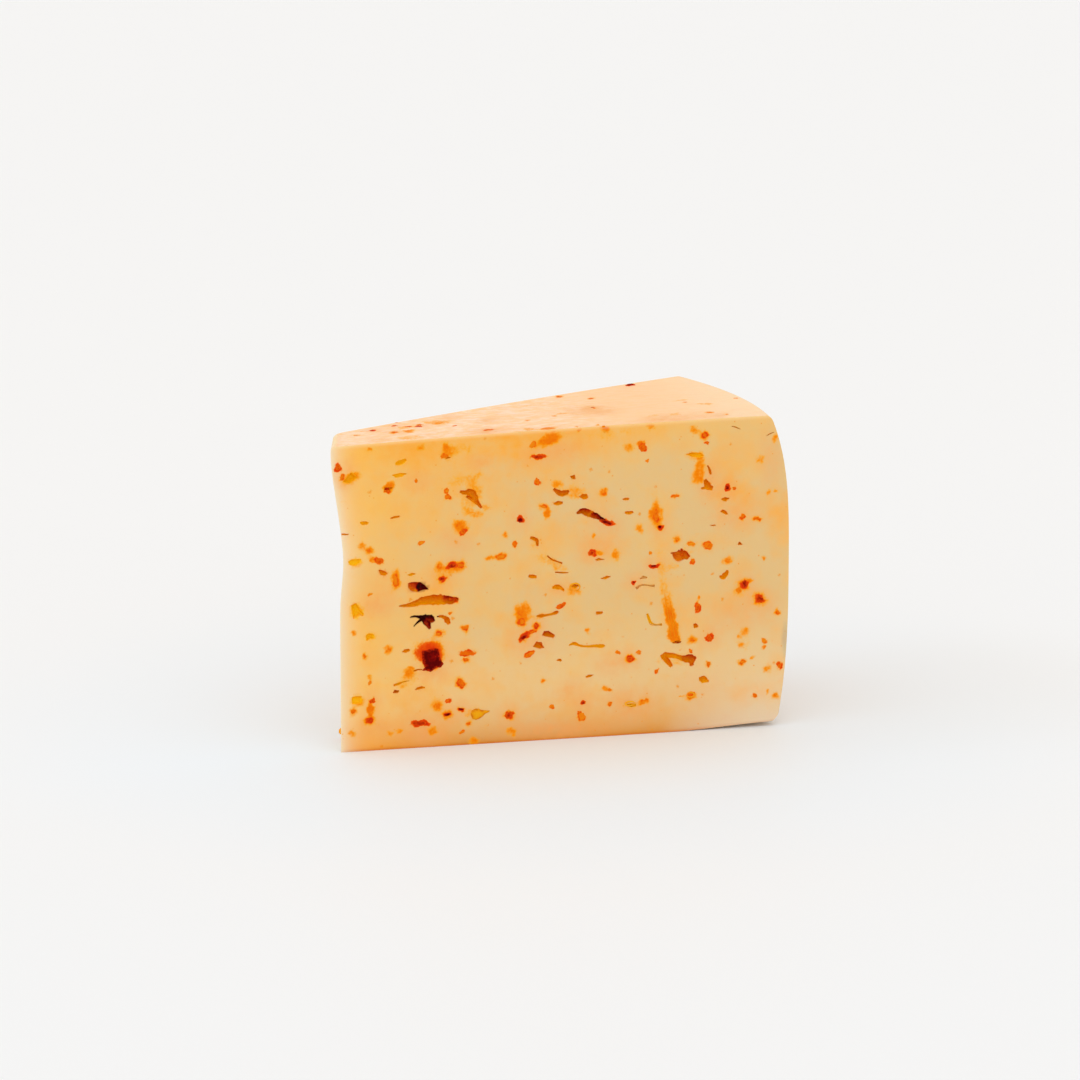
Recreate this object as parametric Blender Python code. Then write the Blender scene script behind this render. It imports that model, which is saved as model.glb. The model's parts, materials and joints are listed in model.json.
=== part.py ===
import math
import random

import bmesh
import bpy
from mathutils import Matrix, Vector, noise

MM = 0.001

# The wheel that the wedge was cut from, measured from the line where its two cuts would meet
CUT_ANGLE = math.radians(22.1)
WHEEL_RADIUS = 138.4 * MM          # on the front cut, where the rind bulges most
RIND_DRIFT = 2.2 * MM              # how much further out the rind is on the back cut
BULGE_HEIGHT = 36.0 * MM           # the level of the widest place
BULGE_ABOVE = 4.6 * MM             # how far the rind draws in towards the top
POWER_ABOVE = 3.6
BULGE_BELOW = 2.6 * MM             # and towards the bottom
POWER_BELOW = 2.6
TOP_ROUND = 1.0 * MM               # rounding of the rind's top edge
FOOT_ROUND = 1.5 * MM              # rounding of its bottom edge
FOOT_LIFT = 1.2 * MM               # the bottom curls up off the table at the rind
LIFT_START = 108.0 * MM            # distance from the axis where that begins
LIFT_LENGTH = 30.0 * MM

# The top rises a little from the tip to the rind
TIP_HEIGHT = 72.0 * MM
TOP_RISE = 4.28 * MM
TOP_DOME = 1.87 * MM
RISE_LENGTH = 110.0 * MM

# A third cut takes the sharp point off
AXIS_TO_TIP = 31.5 * MM            # along the front cut
TIP_SLANT = math.radians(76.1)     # between the front cut and the tip's cut
TIP_BACK_ROUND = 3.0 * MM          # the worn back corner of the tip
TIP_TOP_ROUND = 1.0 * MM
TIP_SWAY = 1.9 * MM                # the knife wandered outwards near the top
SWAY_START = 51.0 * MM
SWAY_LENGTH = 20.0 * MM
TIP_HOLLOW = 0.85 * MM             # and inwards at about two thirds of the height
HOLLOW_HEIGHT = 45.0 * MM
HOLLOW_SPAN = 7.0 * MM
TIP_OFFSET = 0.05 * MM

# Steps of the lattice that the body is shaped from
STEPS_ALONG = 24
STEPS_ACROSS = 8
STEPS_UP = 14
CORNER_STEPS = 3
EDGE_SHARE = 0.012                 # the first and last steps, beside a rounded edge

SMALLEST_EDGE = 0.02 * MM

# Relief of the rind on the top and the rim
RIND_RELIEF = 0.22 * MM
RIND_GRAIN = 5.0 * MM

# Holes on the front cut: along, up, width, height, turn in degrees, droop of the ends (mm)
FRONT_HOLES = [
    (14.5, 67.7, 2.6, 1.2, 10, 0),
    (14.0, 64.7, 2.9, 0.9, 8, 0),
    (2.8, 64.6, 3.6, 2.4, 20, 0),
    (30.4, 58.7, 5.2, 2.1, -50, 0),
    (51.2, 58.6, 4.3, 2.1, -20, 0),
    (58.6, 53.0, 4.3, 1.4, -8, 0.2),
    (84.3, 65.9, 3.3, 0.9, -4, 0),
    (86.5, 58.9, 2.9, 2.1, -55, 0),
    (80.9, 42.5, 5.2, 2.1, 5, 0),
    (68.3, 53.1, 2.4, 0.8, -8, 0),
    (0.8, 51.5, 3.3, 0.6, 0, 0),
    (3.6, 44.9, 3.1, 1.4, 5, 0),
    (18.1, 38.2, 4.8, 1.9, -8, 0),
    (21.4, 34.9, 11.4, 1.9, 8, 0.8),
    (19.5, 30.3, 5.7, 2.6, -5, 0),
    (24.9, 30.0, 2.4, 2.2, -60, 0),
    (4.2, 33.1, 2.6, 2.8, -40, 0),
    (7.0, 27.2, 1.9, 1.7, 20, 0),
    (3.6, 12.2, 2.4, 1.9, 0, 0),
    (50.3, 41.4, 4.5, 0.7, -25, 0),
    (51.2, 36.4, 2.6, 1.2, -10, 0),
    (55.5, 36.1, 3.1, 1.9, 5, 0),
    (48.6, 29.9, 5.2, 0.7, 10, -0.2),
    (49.3, 25.3, 2.9, 1.6, -8, 0),
    (47.0, 22.6, 2.6, 1.6, -20, 0),
    (57.7, 21.9, 8.3, 0.7, -3, 0),
    (71.7, 35.2, 4.8, 0.9, -5, 0),
    (73.7, 25.9, 3.8, 0.7, -10, 0),
    (91.0, 37.0, 1.9, 2.4, -35, 0),
    (77.6, 17.7, 3.3, 2.1, -20, 0),
    (82.2, 17.9, 4.8, 1.9, 5, 0),
    (86.3, 12.2, 2.9, 1.9, -15, 0),
]

# Chilli flakes that lie on the front cut: along, up, width, height, turn in degrees (mm)
FRONT_FLAKES = [
    (21.7, 21.2, 4.3, 6.0, 2),
    (26.3, 42.8, 4.4, 2.4, 12),
    (19.3, 5.8, 4.6, 1.8, 4),
    (30.3, 21.7, 4.0, 2.1, -8),
    (40.2, 6.6, 2.4, 2.6, 20),
    (32.2, 7.2, 4.2, 2.8, 0),
    (43.0, 52.8, 1.8, 2.0, 10),
    (63.0, 51.0, 3.6, 1.3, -20),
    (47.5, 67.3, 3.3, 1.1, 5),
    (43.6, 24.9, 2.9, 1.8, 20),
    (87.5, 44.1, 3.3, 1.9, -12),
    (96.6, 34.6, 2.0, 2.4, -10),
    (100.2, 30.8, 2.9, 2.6, -40),
]
FLAKE_THICKNESS = 0.7 * MM         # half of it stands proud
TOP_FLAKE_RADIUS = 119.4 * MM      # a flake on the rind, just inside the back edge
TOP_FLAKE_ANGLE = math.radians(21.2)
TOP_FLAKE_SIZE = (3.2 * MM, 1.3 * MM, 1.7 * MM)
CRUMB_PLACE = (14.1 * MM, 4.9 * MM)  # a crumb on the tip, beside its front edge
CRUMB_SIZE = (1.2 * MM, 1.6 * MM, 2.2 * MM)
HOLE_DEPTH_SHARE = 0.55            # of a hole's height
HOLE_DEPTH_LEAST = 0.7 * MM

# How uneven holes and flakes are, and how quickly that changes from one to the next
LUMP_UNEVENNESS = 0.45
LUMP_GRAIN = 2.6
LUMP_VARIETY = 0.6 * MM

# What the photograph doesn't show is spread by a seeded draw
SEED = 11
BACK_HOLES = 24
BACK_FLAKES = 12
TIP_HOLES = 4
HOLE_WIDTHS = (2.2, 5.4)
FLAKE_WIDTHS = (2.2, 4.4)
DRAW_MARGIN = 4.0 * MM


def clear_scene():
    for item in list(bpy.data.objects):
        bpy.data.objects.remove(item, do_unlink=True)


def new_collection(name):
    collection = bpy.data.collections.new(name)
    bpy.context.scene.collection.children.link(collection)
    return collection


def smooth_step(value):
    value = min(max(value, 0.0), 1.0)
    return value * value * (3.0 - 2.0 * value)


def mix(a, b, share):
    return a + (b - a) * share


# How far a rounded edge stands back at a distance from the sharp one
def round_inset(distance, radius):
    if distance >= radius:
        return 0.0
    return radius - math.sqrt(radius * radius - (radius - distance) ** 2)


# How far the middle of a rounded edge stands back on either side
def round_middle(radius):
    return radius * (1.0 - math.sqrt(0.5))


def wheel_height(r):
    share = (r - AXIS_TO_TIP) / RISE_LENGTH
    return TIP_HEIGHT + TOP_RISE * share - TOP_DOME * share * share


def tip_sway(z):
    hollow = TIP_HOLLOW * math.exp(-((z - HOLLOW_HEIGHT) / HOLLOW_SPAN) ** 2)
    return TIP_OFFSET + hollow - TIP_SWAY * smooth_step((z - SWAY_START) / SWAY_LENGTH)


RIND_EDGE = WHEEL_RADIUS - BULGE_ABOVE
RIND_LOW = FOOT_LIFT + round_middle(FOOT_ROUND)
RIND_HIGH = wheel_height(RIND_EDGE) - round_middle(TOP_ROUND)


# The rind's profile on the front cut
def rind_radius(z):
    top = wheel_height(RIND_EDGE)
    if z > BULGE_HEIGHT:
        draw = BULGE_ABOVE * ((z - BULGE_HEIGHT) / (top - BULGE_HEIGHT)) ** POWER_ABOVE
    else:
        draw = BULGE_BELOW * ((BULGE_HEIGHT - z) / BULGE_HEIGHT) ** POWER_BELOW
    inset = round_inset(top - z, TOP_ROUND) + round_inset(z - FOOT_LIFT, FOOT_ROUND)
    return WHEEL_RADIUS - draw - inset


# Distance from the axis, along a ray, of the cut that took the point off
def tip_radius(angle, z):
    start = AXIS_TO_TIP + tip_sway(z)
    corner = start * math.sin(TIP_SLANT) / math.sin(TIP_SLANT - CUT_ANGLE)
    half_corner = (math.pi - TIP_SLANT + CUT_ANGLE) / 2
    tangent = TIP_BACK_ROUND / math.tan(half_corner)
    if angle <= corner_start(corner, tangent):
        r = start * math.sin(TIP_SLANT) / math.sin(TIP_SLANT - angle)
    else:
        reach = corner + tangent
        centre = reach * math.cos(CUT_ANGLE - angle) + TIP_BACK_ROUND * math.sin(CUT_ANGLE - angle)
        r = centre - math.sqrt(max(centre * centre - reach * reach, 0.0))
    return r + round_inset(TIP_HEIGHT - z, TIP_TOP_ROUND)


# The ray on which the rounding of the tip's back corner begins
def corner_start(corner, tangent):
    x = corner * math.cos(CUT_ANGLE) - tangent * math.cos(TIP_SLANT)
    y = corner * math.sin(CUT_ANGLE) - tangent * math.sin(TIP_SLANT)
    return math.atan2(y, x)


def bottom_height(r):
    lift = FOOT_LIFT * smooth_step((r - LIFT_START) / LIFT_LENGTH)
    return lift + round_inset(WHEEL_RADIUS - BULGE_BELOW - r, FOOT_ROUND)


def top_height(r, from_tip):
    drop = round_inset(RIND_EDGE - r, TOP_ROUND) + round_inset(from_tip, TIP_TOP_ROUND)
    return wheel_height(r) - drop


# Where the middle of the wedge's base lies from the wheel's axis
WEDGE_LEFT = AXIS_TO_TIP + tip_sway(TIP_HEIGHT - TIP_TOP_ROUND)
WEDGE_BACK = (WHEEL_RADIUS + RIND_DRIFT) * math.sin(CUT_ANGLE)
CENTRE = Vector(((WHEEL_RADIUS + WEDGE_LEFT) / 2, WEDGE_BACK / 2, 0))


# A point of the lattice: its shares of the way from tip to rind, front to back and up
def wedge_point(along, across, up):
    angle = CUT_ANGLE * across
    outer = rind_radius(mix(RIND_LOW, RIND_HIGH, up))
    tip_top = TIP_HEIGHT - round_middle(TIP_TOP_ROUND)
    inner = tip_radius(angle, tip_top * up)
    drift = RIND_DRIFT * across * (2.0 - across)
    r = mix(inner, outer + drift, along)
    low_r = mix(tip_radius(angle, 0.0), rind_radius(RIND_LOW), along)
    high_start = tip_radius(angle, tip_top)
    high_r = mix(high_start, rind_radius(RIND_HIGH), along)
    from_tip = high_r - high_start + round_middle(TIP_TOP_ROUND)
    z = mix(bottom_height(low_r), top_height(high_r, from_tip), up)
    return Vector((r * math.cos(angle), r * math.sin(angle), z)) - CENTRE


def even_shares(steps):
    inner = [step / steps for step in range(1, steps)]
    return inner + [EDGE_SHARE, 1.0 - EDGE_SHARE, 1.0 - 2.5 * EDGE_SHARE]


# Rays that follow the rounded back corner of the tip closely
def corner_shares():
    return [1.0 - 0.16 * (step / (CORNER_STEPS + 1)) ** 2 for step in range(1, CORNER_STEPS + 1)]


# A unit block sliced into a lattice whose points are then moved into the wedge's shape
def wedge_body(collection):
    mesh = bpy.data.meshes.new("cheese_wedge")
    block = bmesh.new()
    bmesh.ops.create_cube(block, size=1.0, matrix=Matrix.Translation((0.5, 0.5, 0.5)))
    across = [step / STEPS_ACROSS for step in range(1, STEPS_ACROSS)] + corner_shares()
    for axis, shares in enumerate((even_shares(STEPS_ALONG), across, even_shares(STEPS_UP))):
        for share in shares:
            place = Vector((0, 0, 0))
            place[axis] = share
            normal = Vector((0, 0, 0))
            normal[axis] = 1.0
            everything = block.verts[:] + block.edges[:] + block.faces[:]
            bmesh.ops.bisect_plane(block, geom=everything, plane_co=place, plane_no=normal)
    for vert in block.verts:
        share = vert.co.copy()
        vert.co = wedge_point(*share) + rind_relief(share)
    bmesh.ops.triangulate(block, faces=block.faces[:])
    bmesh.ops.recalc_face_normals(block, faces=block.faces[:])
    block.to_mesh(mesh)
    block.free()
    body = bpy.data.objects.new("cheese_wedge", mesh)
    collection.objects.link(body)
    return body


# The rind is slightly uneven on the top and the rim; the cuts and the bottom stay true
def rind_relief(share):
    on_top = share.z > 0.999 and 0.001 < share.y < 0.999
    on_rim = share.x > 0.999 and 0.001 < share.y < 0.999 and share.z > 0.2
    if not (on_top or on_rim):
        return Vector((0, 0, 0))
    point = wedge_point(*share)
    swell = RIND_RELIEF * noise.noise(point / RIND_GRAIN)
    if on_top:
        return Vector((0, 0, swell - RIND_RELIEF / 2))
    outward = Vector((point.x + CENTRE.x, point.y + CENTRE.y, 0)).normalized()
    return outward * (swell - RIND_RELIEF)


# Frames of the cut faces: their axes run along the face, into it, and up
def face_frame(origin, along):
    out = Vector((along.y, -along.x, 0))
    frame = Matrix.Identity(4)
    for row in range(3):
        frame[row][0] = along[row]
        frame[row][1] = -out[row]
        frame[row][3] = origin[row]
    return frame


def front_frame():
    return face_frame(Vector((AXIS_TO_TIP, 0, 0)) - CENTRE, Vector((1, 0, 0)))


# This frame runs from the rind to the tip, so that its outward side is the back's
def back_frame():
    ray = Vector((math.cos(CUT_ANGLE), math.sin(CUT_ANGLE), 0))
    return face_frame(ray * WHEEL_RADIUS - CENTRE, -ray)


def tip_frame():
    along = Vector((math.cos(TIP_SLANT), math.sin(TIP_SLANT), 0))
    back = AXIS_TO_TIP * math.sin(TIP_SLANT) / math.sin(TIP_SLANT - CUT_ANGLE)
    corner = Vector((math.cos(CUT_ANGLE), math.sin(CUT_ANGLE), 0)) * back
    return face_frame(corner - CENTRE, -along)


# On the top the second axis points up, and the first runs along the back cut
def top_frame():
    ray = Vector((math.cos(TOP_FLAKE_ANGLE), math.sin(TOP_FLAKE_ANGLE), 0))
    spot = ray * TOP_FLAKE_RADIUS - CENTRE
    spot.z = wheel_height(TOP_FLAKE_RADIUS)
    turn = Matrix.Rotation(CUT_ANGLE, 4, "Z") @ Matrix.Rotation(math.pi / 2, 4, "X")
    return Matrix.Translation(spot) @ turn


# An uneven lump on a face, made from a ball; droop bends its two ends down
def lump(name, collection, frame, place, size, turn, droop, subdivisions):
    mesh = bpy.data.meshes.new(name)
    ball = bmesh.new()
    bmesh.ops.create_icosphere(ball, subdivisions=subdivisions, radius=0.5)
    shift = Vector((place[0], place[1], 0)) / LUMP_VARIETY
    for vert in ball.verts:
        uneven = 1.0 + LUMP_UNEVENNESS * noise.noise(vert.co * LUMP_GRAIN + shift)
        point = Vector((vert.co.x * size[0], vert.co.y * size[1], vert.co.z * size[2])) * uneven
        point.z -= droop * (2 * vert.co.x) ** 2
        vert.co = point
    stand = Matrix.Translation((place[0], 0, place[1])) @ Matrix.Rotation(-turn, 4, "Y")
    bmesh.ops.transform(ball, matrix=frame @ stand, verts=ball.verts)
    bmesh.ops.recalc_face_normals(ball, faces=ball.faces[:])
    ball.to_mesh(mesh)
    ball.free()
    item = bpy.data.objects.new(name, mesh)
    collection.objects.link(item)
    return item


def hole(name, collection, frame, along, up, width, height, turn, droop):
    depth = 2 * (HOLE_DEPTH_LEAST + HOLE_DEPTH_SHARE * height * MM)
    size = (width * MM, depth, height * MM)
    cutter = lump(name, collection, frame, (along * MM, up * MM), size,
                  math.radians(turn), droop * MM, 2)
    cutter.hide_render = True
    cutter.display_type = "WIRE"


def flake(name, collection, frame, along, up, width, height, turn):
    size = (width * MM, FLAKE_THICKNESS, height * MM)
    lump(name, collection, frame, (along * MM, up * MM), size, math.radians(turn), 0.0, 1)


# Places that keep clear of each other on a face of this length, in mm
def drawn_places(draw, count, length, height, clearance, taken):
    margin = DRAW_MARGIN / MM
    places = []
    while len(places) < count:
        spot = Vector((draw.uniform(margin, length - margin), draw.uniform(margin, height - margin)))
        if all((spot - other).length > clearance for other in taken):
            places.append(spot)
            taken.append(spot)
    return places


def drawn_hole_size(draw):
    width = draw.uniform(*HOLE_WIDTHS)
    return width, max(0.8, width * draw.uniform(0.25, 0.55))


def cut_holes(body, collection):
    for number, row in enumerate(FRONT_HOLES):
        hole(f"front_hole_{number}", collection, front_frame(), *row)
    draw = random.Random(SEED)
    back_length = (WHEEL_RADIUS - tip_radius(CUT_ANGLE, 0.0)) / MM
    taken = []
    for number, spot in enumerate(drawn_places(draw, BACK_HOLES, back_length, 70.0, 8.5, taken)):
        width, height = drawn_hole_size(draw)
        hole(f"back_hole_{number}", collection, back_frame(), spot.x, spot.y, width, height,
             draw.uniform(-35, 35), draw.uniform(-0.3, 0.5))
    for number, spot in enumerate(drawn_places(draw, TIP_HOLES, 14.6, 66.0, 9.0, [])):
        hole(f"tip_hole_{number}", collection, tip_frame(), spot.x, spot.y, 2.6, 1.3,
             draw.uniform(-30, 30), 0.0)
    return draw, taken, back_length


def lay_flakes(collection, draw, taken, back_length):
    lump("top_flake", collection, top_frame(), (0, 0), TOP_FLAKE_SIZE, 0.0, 0.0, 1)
    lump("crumb", collection, tip_frame(), CRUMB_PLACE, CRUMB_SIZE, 0.0, 0.0, 1)
    for number, row in enumerate(FRONT_FLAKES):
        flake(f"front_flake_{number}", collection, front_frame(), *row)
    for number, spot in enumerate(drawn_places(draw, BACK_FLAKES, back_length, 68.0, 6.5, taken)):
        width = draw.uniform(*FLAKE_WIDTHS)
        flake(f"back_flake_{number}", collection, back_frame(), spot.x, spot.y, width,
              width * draw.uniform(0.4, 0.8), draw.uniform(-60, 60))


# The manifold solver, because the exact one leaves gaps where so many small balls meet a face
def boolean(body, operation, collection):
    modifier = body.modifiers.new(operation.title(), "BOOLEAN")
    modifier.operation = operation
    modifier.operand_type = "COLLECTION"
    modifier.collection = collection
    modifier.solver = "MANIFOLD"
    depsgraph = bpy.context.evaluated_depsgraph_get()
    result = bpy.data.meshes.new_from_object(body.evaluated_get(depsgraph))
    body.modifiers.clear()
    body.data = result
    remove_slivers(result)


# Closes the tiny edges that cutting leaves
def remove_slivers(mesh):
    surface = bmesh.new()
    surface.from_mesh(mesh)
    bmesh.ops.remove_doubles(surface, verts=surface.verts[:], dist=SMALLEST_EDGE)
    bmesh.ops.dissolve_degenerate(surface, dist=SMALLEST_EDGE, edges=surface.edges[:])
    bmesh.ops.triangulate(surface, faces=surface.faces[:])
    surface.to_mesh(mesh)
    surface.free()


def remove_collection(collection):
    for item in list(collection.objects):
        bpy.data.objects.remove(item, do_unlink=True)
    bpy.data.collections.remove(collection)


def cheese_material():
    material = bpy.data.materials.new("Cheese")
    material.use_nodes = True
    shader = material.node_tree.nodes["Principled BSDF"]
    shader.inputs["Base Color"].default_value = (0.86, 0.62, 0.30, 1.0)
    shader.inputs["Roughness"].default_value = 0.45
    shader.inputs["Metallic"].default_value = 0.0
    return material


def main():
    clear_scene()
    parts = new_collection("Cheese wedge")
    flakes = new_collection("Flakes")
    cutters = new_collection("Cutters")
    body = wedge_body(parts)
    draw, taken, back_length = cut_holes(body, cutters)
    lay_flakes(flakes, draw, taken, back_length)
    boolean(body, "UNION", flakes)
    remove_collection(flakes)
    boolean(body, "DIFFERENCE", cutters)
    body.data.materials.clear()
    body.data.materials.append(cheese_material())


main()
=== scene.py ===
import json
import math
import random

import bmesh
import bpy
import numpy as np
from mathutils import Matrix, Vector, noise
from mathutils.bvhtree import BVHTree

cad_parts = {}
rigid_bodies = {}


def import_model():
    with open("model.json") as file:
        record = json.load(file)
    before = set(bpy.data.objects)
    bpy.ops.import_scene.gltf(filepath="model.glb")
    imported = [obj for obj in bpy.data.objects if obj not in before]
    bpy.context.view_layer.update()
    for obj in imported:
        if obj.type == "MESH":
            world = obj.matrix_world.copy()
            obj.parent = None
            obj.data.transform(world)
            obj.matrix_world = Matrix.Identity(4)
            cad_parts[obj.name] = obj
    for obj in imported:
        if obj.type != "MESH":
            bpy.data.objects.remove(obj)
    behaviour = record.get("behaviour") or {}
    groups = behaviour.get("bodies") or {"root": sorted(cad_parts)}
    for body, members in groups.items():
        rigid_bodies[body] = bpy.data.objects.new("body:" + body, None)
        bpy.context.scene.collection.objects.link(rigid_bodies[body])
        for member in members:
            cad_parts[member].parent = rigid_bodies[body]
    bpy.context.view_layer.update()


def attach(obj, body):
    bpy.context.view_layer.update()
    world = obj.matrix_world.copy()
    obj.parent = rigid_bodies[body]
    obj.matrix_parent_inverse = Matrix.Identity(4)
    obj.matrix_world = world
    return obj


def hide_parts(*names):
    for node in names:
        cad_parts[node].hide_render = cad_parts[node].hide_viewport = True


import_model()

mm = 0.001

# The wheel that the wedge was cut from, as in the CAD source (mm, degrees)
wedge = {
    "cutAngle": math.radians(22.1),
    "wheelRadius": 138.4,
    "rindDrift": 2.2,            # the rind is this much further out on the back cut
    "bulgeHeight": 36.0,
    "bulgeAbove": 4.6,
    "powerAbove": 3.6,
    "bulgeBelow": 2.6,
    "powerBelow": 2.6,
    "topRound": 1.0,
    "footRound": 1.5,
    "footLift": 1.2,
    "liftStart": 108.0,
    "liftLength": 30.0,
    "tipHeight": 72.0,
    "topRise": 4.28,
    "topDome": 1.87,
    "riseLength": 110.0,
    "axisToTip": 31.5,
    "tipSlant": math.radians(76.1),
    "tipBackRound": 3.0,
    "tipTopRound": 1.0,
    "tipSway": 1.9,
    "swayStart": 51.0,
    "swayLength": 20.0,
    "tipHollow": 0.85,
    "hollowHeight": 45.0,
    "hollowSpan": 7.0,
    "tipOffset": 0.05,
}

# How finely the body is meshed and finished
body = {
    "stepsAlong": 112,
    "stepsAcross": 36,
    "stepsUp": 77,
    "edgeShares": (0.004, 0.009),
    "cutEdgeRound": 0.32,        # the knife's edges, a little crumbled
    "nearFeature": 1.4,          # mm round a hole or flake that gets the finer mesh
    "nearEdge": 0.35,            # and the finest, on the front
    "rindRelief": 0.1,           # mm, pressed cloth and mites on the older half of the top
    "smoothRelief": 0.05,
    "weld": 0.01,
}

# Holes on the front cut as runs of (along, up, half width), mm from the tip and the table
frontCracks = {
    "crescent": [(13.9, 33.9, 0.15), (16.0, 34.0, 0.45), (17.7, 34.3, 0.7), (19.4, 34.8, 0.9), (21.5, 35.0, 1.15),
                 (23.6, 34.9, 1.15), (25.5, 34.7, 1.0), (27.0, 34.7, 0.7), (27.9, 34.8, 0.2)],
    "starTail": [(16.5, 31.1, 0.12), (17.4, 31.3, 0.22), (18.6, 31.1, 0.4), (20.1, 30.7, 0.85), (21.5, 30.4, 0.95),
                 (22.2, 30.5, 0.5)],
    "starPoint": [(19.4, 30.8, 0.6), (20.3, 29.8, 0.85), (20.9, 28.7, 0.5), (21.1, 28.1, 0.2)],
    "starRoot": [(19.1, 30.5, 0.35), (18.0, 29.6, 0.2), (17.3, 28.9, 0.1)],
    "comma": [(22.8, 30.9, 0.15), (23.9, 30.9, 0.3), (24.8, 30.5, 0.5), (25.3, 29.7, 0.65), (25.7, 29.0, 0.4)],
    "oilSlit": [(12.5, 15.2, 0.25), (13.6, 15.5, 0.3), (14.8, 15.9, 0.12), (16.2, 16.1, 0.08)],
    "chipSlit": [(17.2, 18.3, 0.14), (18.2, 18.6, 0.2), (19.3, 18.5, 0.1)],
    "slopingHead": [(28.3, 60.1, 0.3), (29.5, 59.8, 0.55), (30.7, 59.8, 0.9), (31.7, 58.9, 0.75), (32.1, 57.8, 0.6),
                    (32.8, 56.8, 0.45), (33.4, 56.0, 0.25)],
    "slopingFoot": [(29.8, 58.9, 0.25), (30.9, 58.3, 0.45), (31.9, 57.5, 0.35)],
    "cornerCrack": [(92.8, 72.3, 0.08), (93.8, 72.0, 0.17), (94.9, 71.5, 0.08)],
    "rimCrack": [(101.2, 69.6, 0.08), (102.0, 70.0, 0.15), (103.0, 70.4, 0.08)],
    "chippedNest": [(50.4, 59.6, 0.3), (51.3, 58.9, 0.6), (52.2, 58.4, 0.7), (53.4, 58.6, 0.6), (54.1, 58.9, 0.25)],
    "underNest": [(50.4, 56.1, 0.15), (51.5, 56.2, 0.5), (52.6, 56.3, 0.25)],
    "longGash": [(55.9, 53.5, 0.2), (57.2, 54.0, 0.7), (58.9, 53.4, 0.8), (60.3, 52.8, 0.7), (61.4, 52.2, 0.5),
                 (62.7, 51.4, 0.3)],
    "hook": [(44.9, 48.4, 0.3), (45.9, 48.1, 0.45), (46.5, 47.5, 0.4), (46.6, 46.3, 0.3)],
    "rightGash": [(87.1, 63.3, 0.15), (87.6, 62.2, 0.3), (87.9, 61.1, 0.2)],
    "rightNotch": [(86.5, 60.0, 0.3), (86.9, 59.1, 0.7), (87.4, 58.2, 0.8), (88.4, 57.8, 0.4)],
    "rightNotchLip": [(85.6, 57.9, 0.2), (86.6, 58.0, 0.4), (87.6, 58.0, 0.5)],
    "sunStar": [(78.4, 42.9, 0.12), (79.6, 42.9, 0.3), (80.7, 42.7, 0.7), (81.8, 42.3, 1.0), (82.7, 41.5, 0.5)],
    "sunStarRay": [(80.9, 43.9, 0.2), (81.2, 42.8, 0.5), (81.4, 41.2, 0.3)],
    "boot": [(90.2, 36.8, 0.25), (91.0, 36.6, 0.65), (91.8, 37.4, 0.55), (92.1, 38.1, 0.25)],
    "paleShelf": [(70.1, 35.0, 0.4), (71.5, 35.7, 0.2), (73.2, 35.5, 0.2), (74.6, 35.3, 0.35)],
    "paleShelfTop": [(71.0, 37.2, 0.15), (71.8, 37.5, 0.35), (72.8, 37.4, 0.2)],
    "bentSlit": [(72.8, 28.8, 0.25), (73.3, 27.4, 0.35), (73.8, 26.4, 0.4), (75.0, 26.0, 0.2), (76.4, 26.0, 0.3)],
    "archLeft": [(76.2, 18.1, 0.5), (77.3, 18.5, 0.75), (79.1, 18.4, 0.6), (80.3, 18.0, 0.5), (82.0, 17.5, 0.8),
                 (83.4, 17.4, 1.0), (84.4, 16.9, 0.7)],
    "archFoot": [(77.0, 18.0, 0.6), (77.9, 17.0, 0.65), (78.8, 15.8, 0.35)],
    "archHeel": [(83.4, 16.9, 0.65), (83.7, 15.7, 0.45)],
    "pocket": [(85.4, 12.2, 0.4), (86.3, 12.3, 0.95), (87.2, 11.9, 0.55), (87.8, 11.7, 0.15)],
    "lowSlit": [(54.1, 22.3, 0.12), (55.3, 22.7, 0.38), (56.7, 22.1, 0.28), (58.4, 21.8, 0.24), (60.3, 21.8, 0.36),
                (62.0, 21.7, 0.46), (62.7, 21.7, 0.18)],
    "middleSlit": [(46.4, 29.7, 0.22), (47.5, 29.7, 0.42), (48.9, 29.8, 0.24), (50.1, 30.0, 0.3), (51.0, 30.3, 0.45),
                   (51.6, 30.4, 0.2)],
    "threadUpper": [(48.9, 43.9, 0.14), (50.1, 42.9, 0.2), (51.3, 42.4, 0.16), (52.5, 41.9, 0.2)],
    "threadLower": [(50.8, 39.9, 0.14), (52.4, 39.7, 0.18), (53.9, 39.6, 0.1)],
    "smallWing": [(50.1, 36.2, 0.25), (51.2, 36.4, 0.6), (52.4, 35.9, 0.42), (52.9, 35.3, 0.22)],
    "edgeSlit": [(-0.8, 51.6, 0.3), (0.6, 51.5, 0.22), (2.2, 51.4, 0.12)],
}

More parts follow.
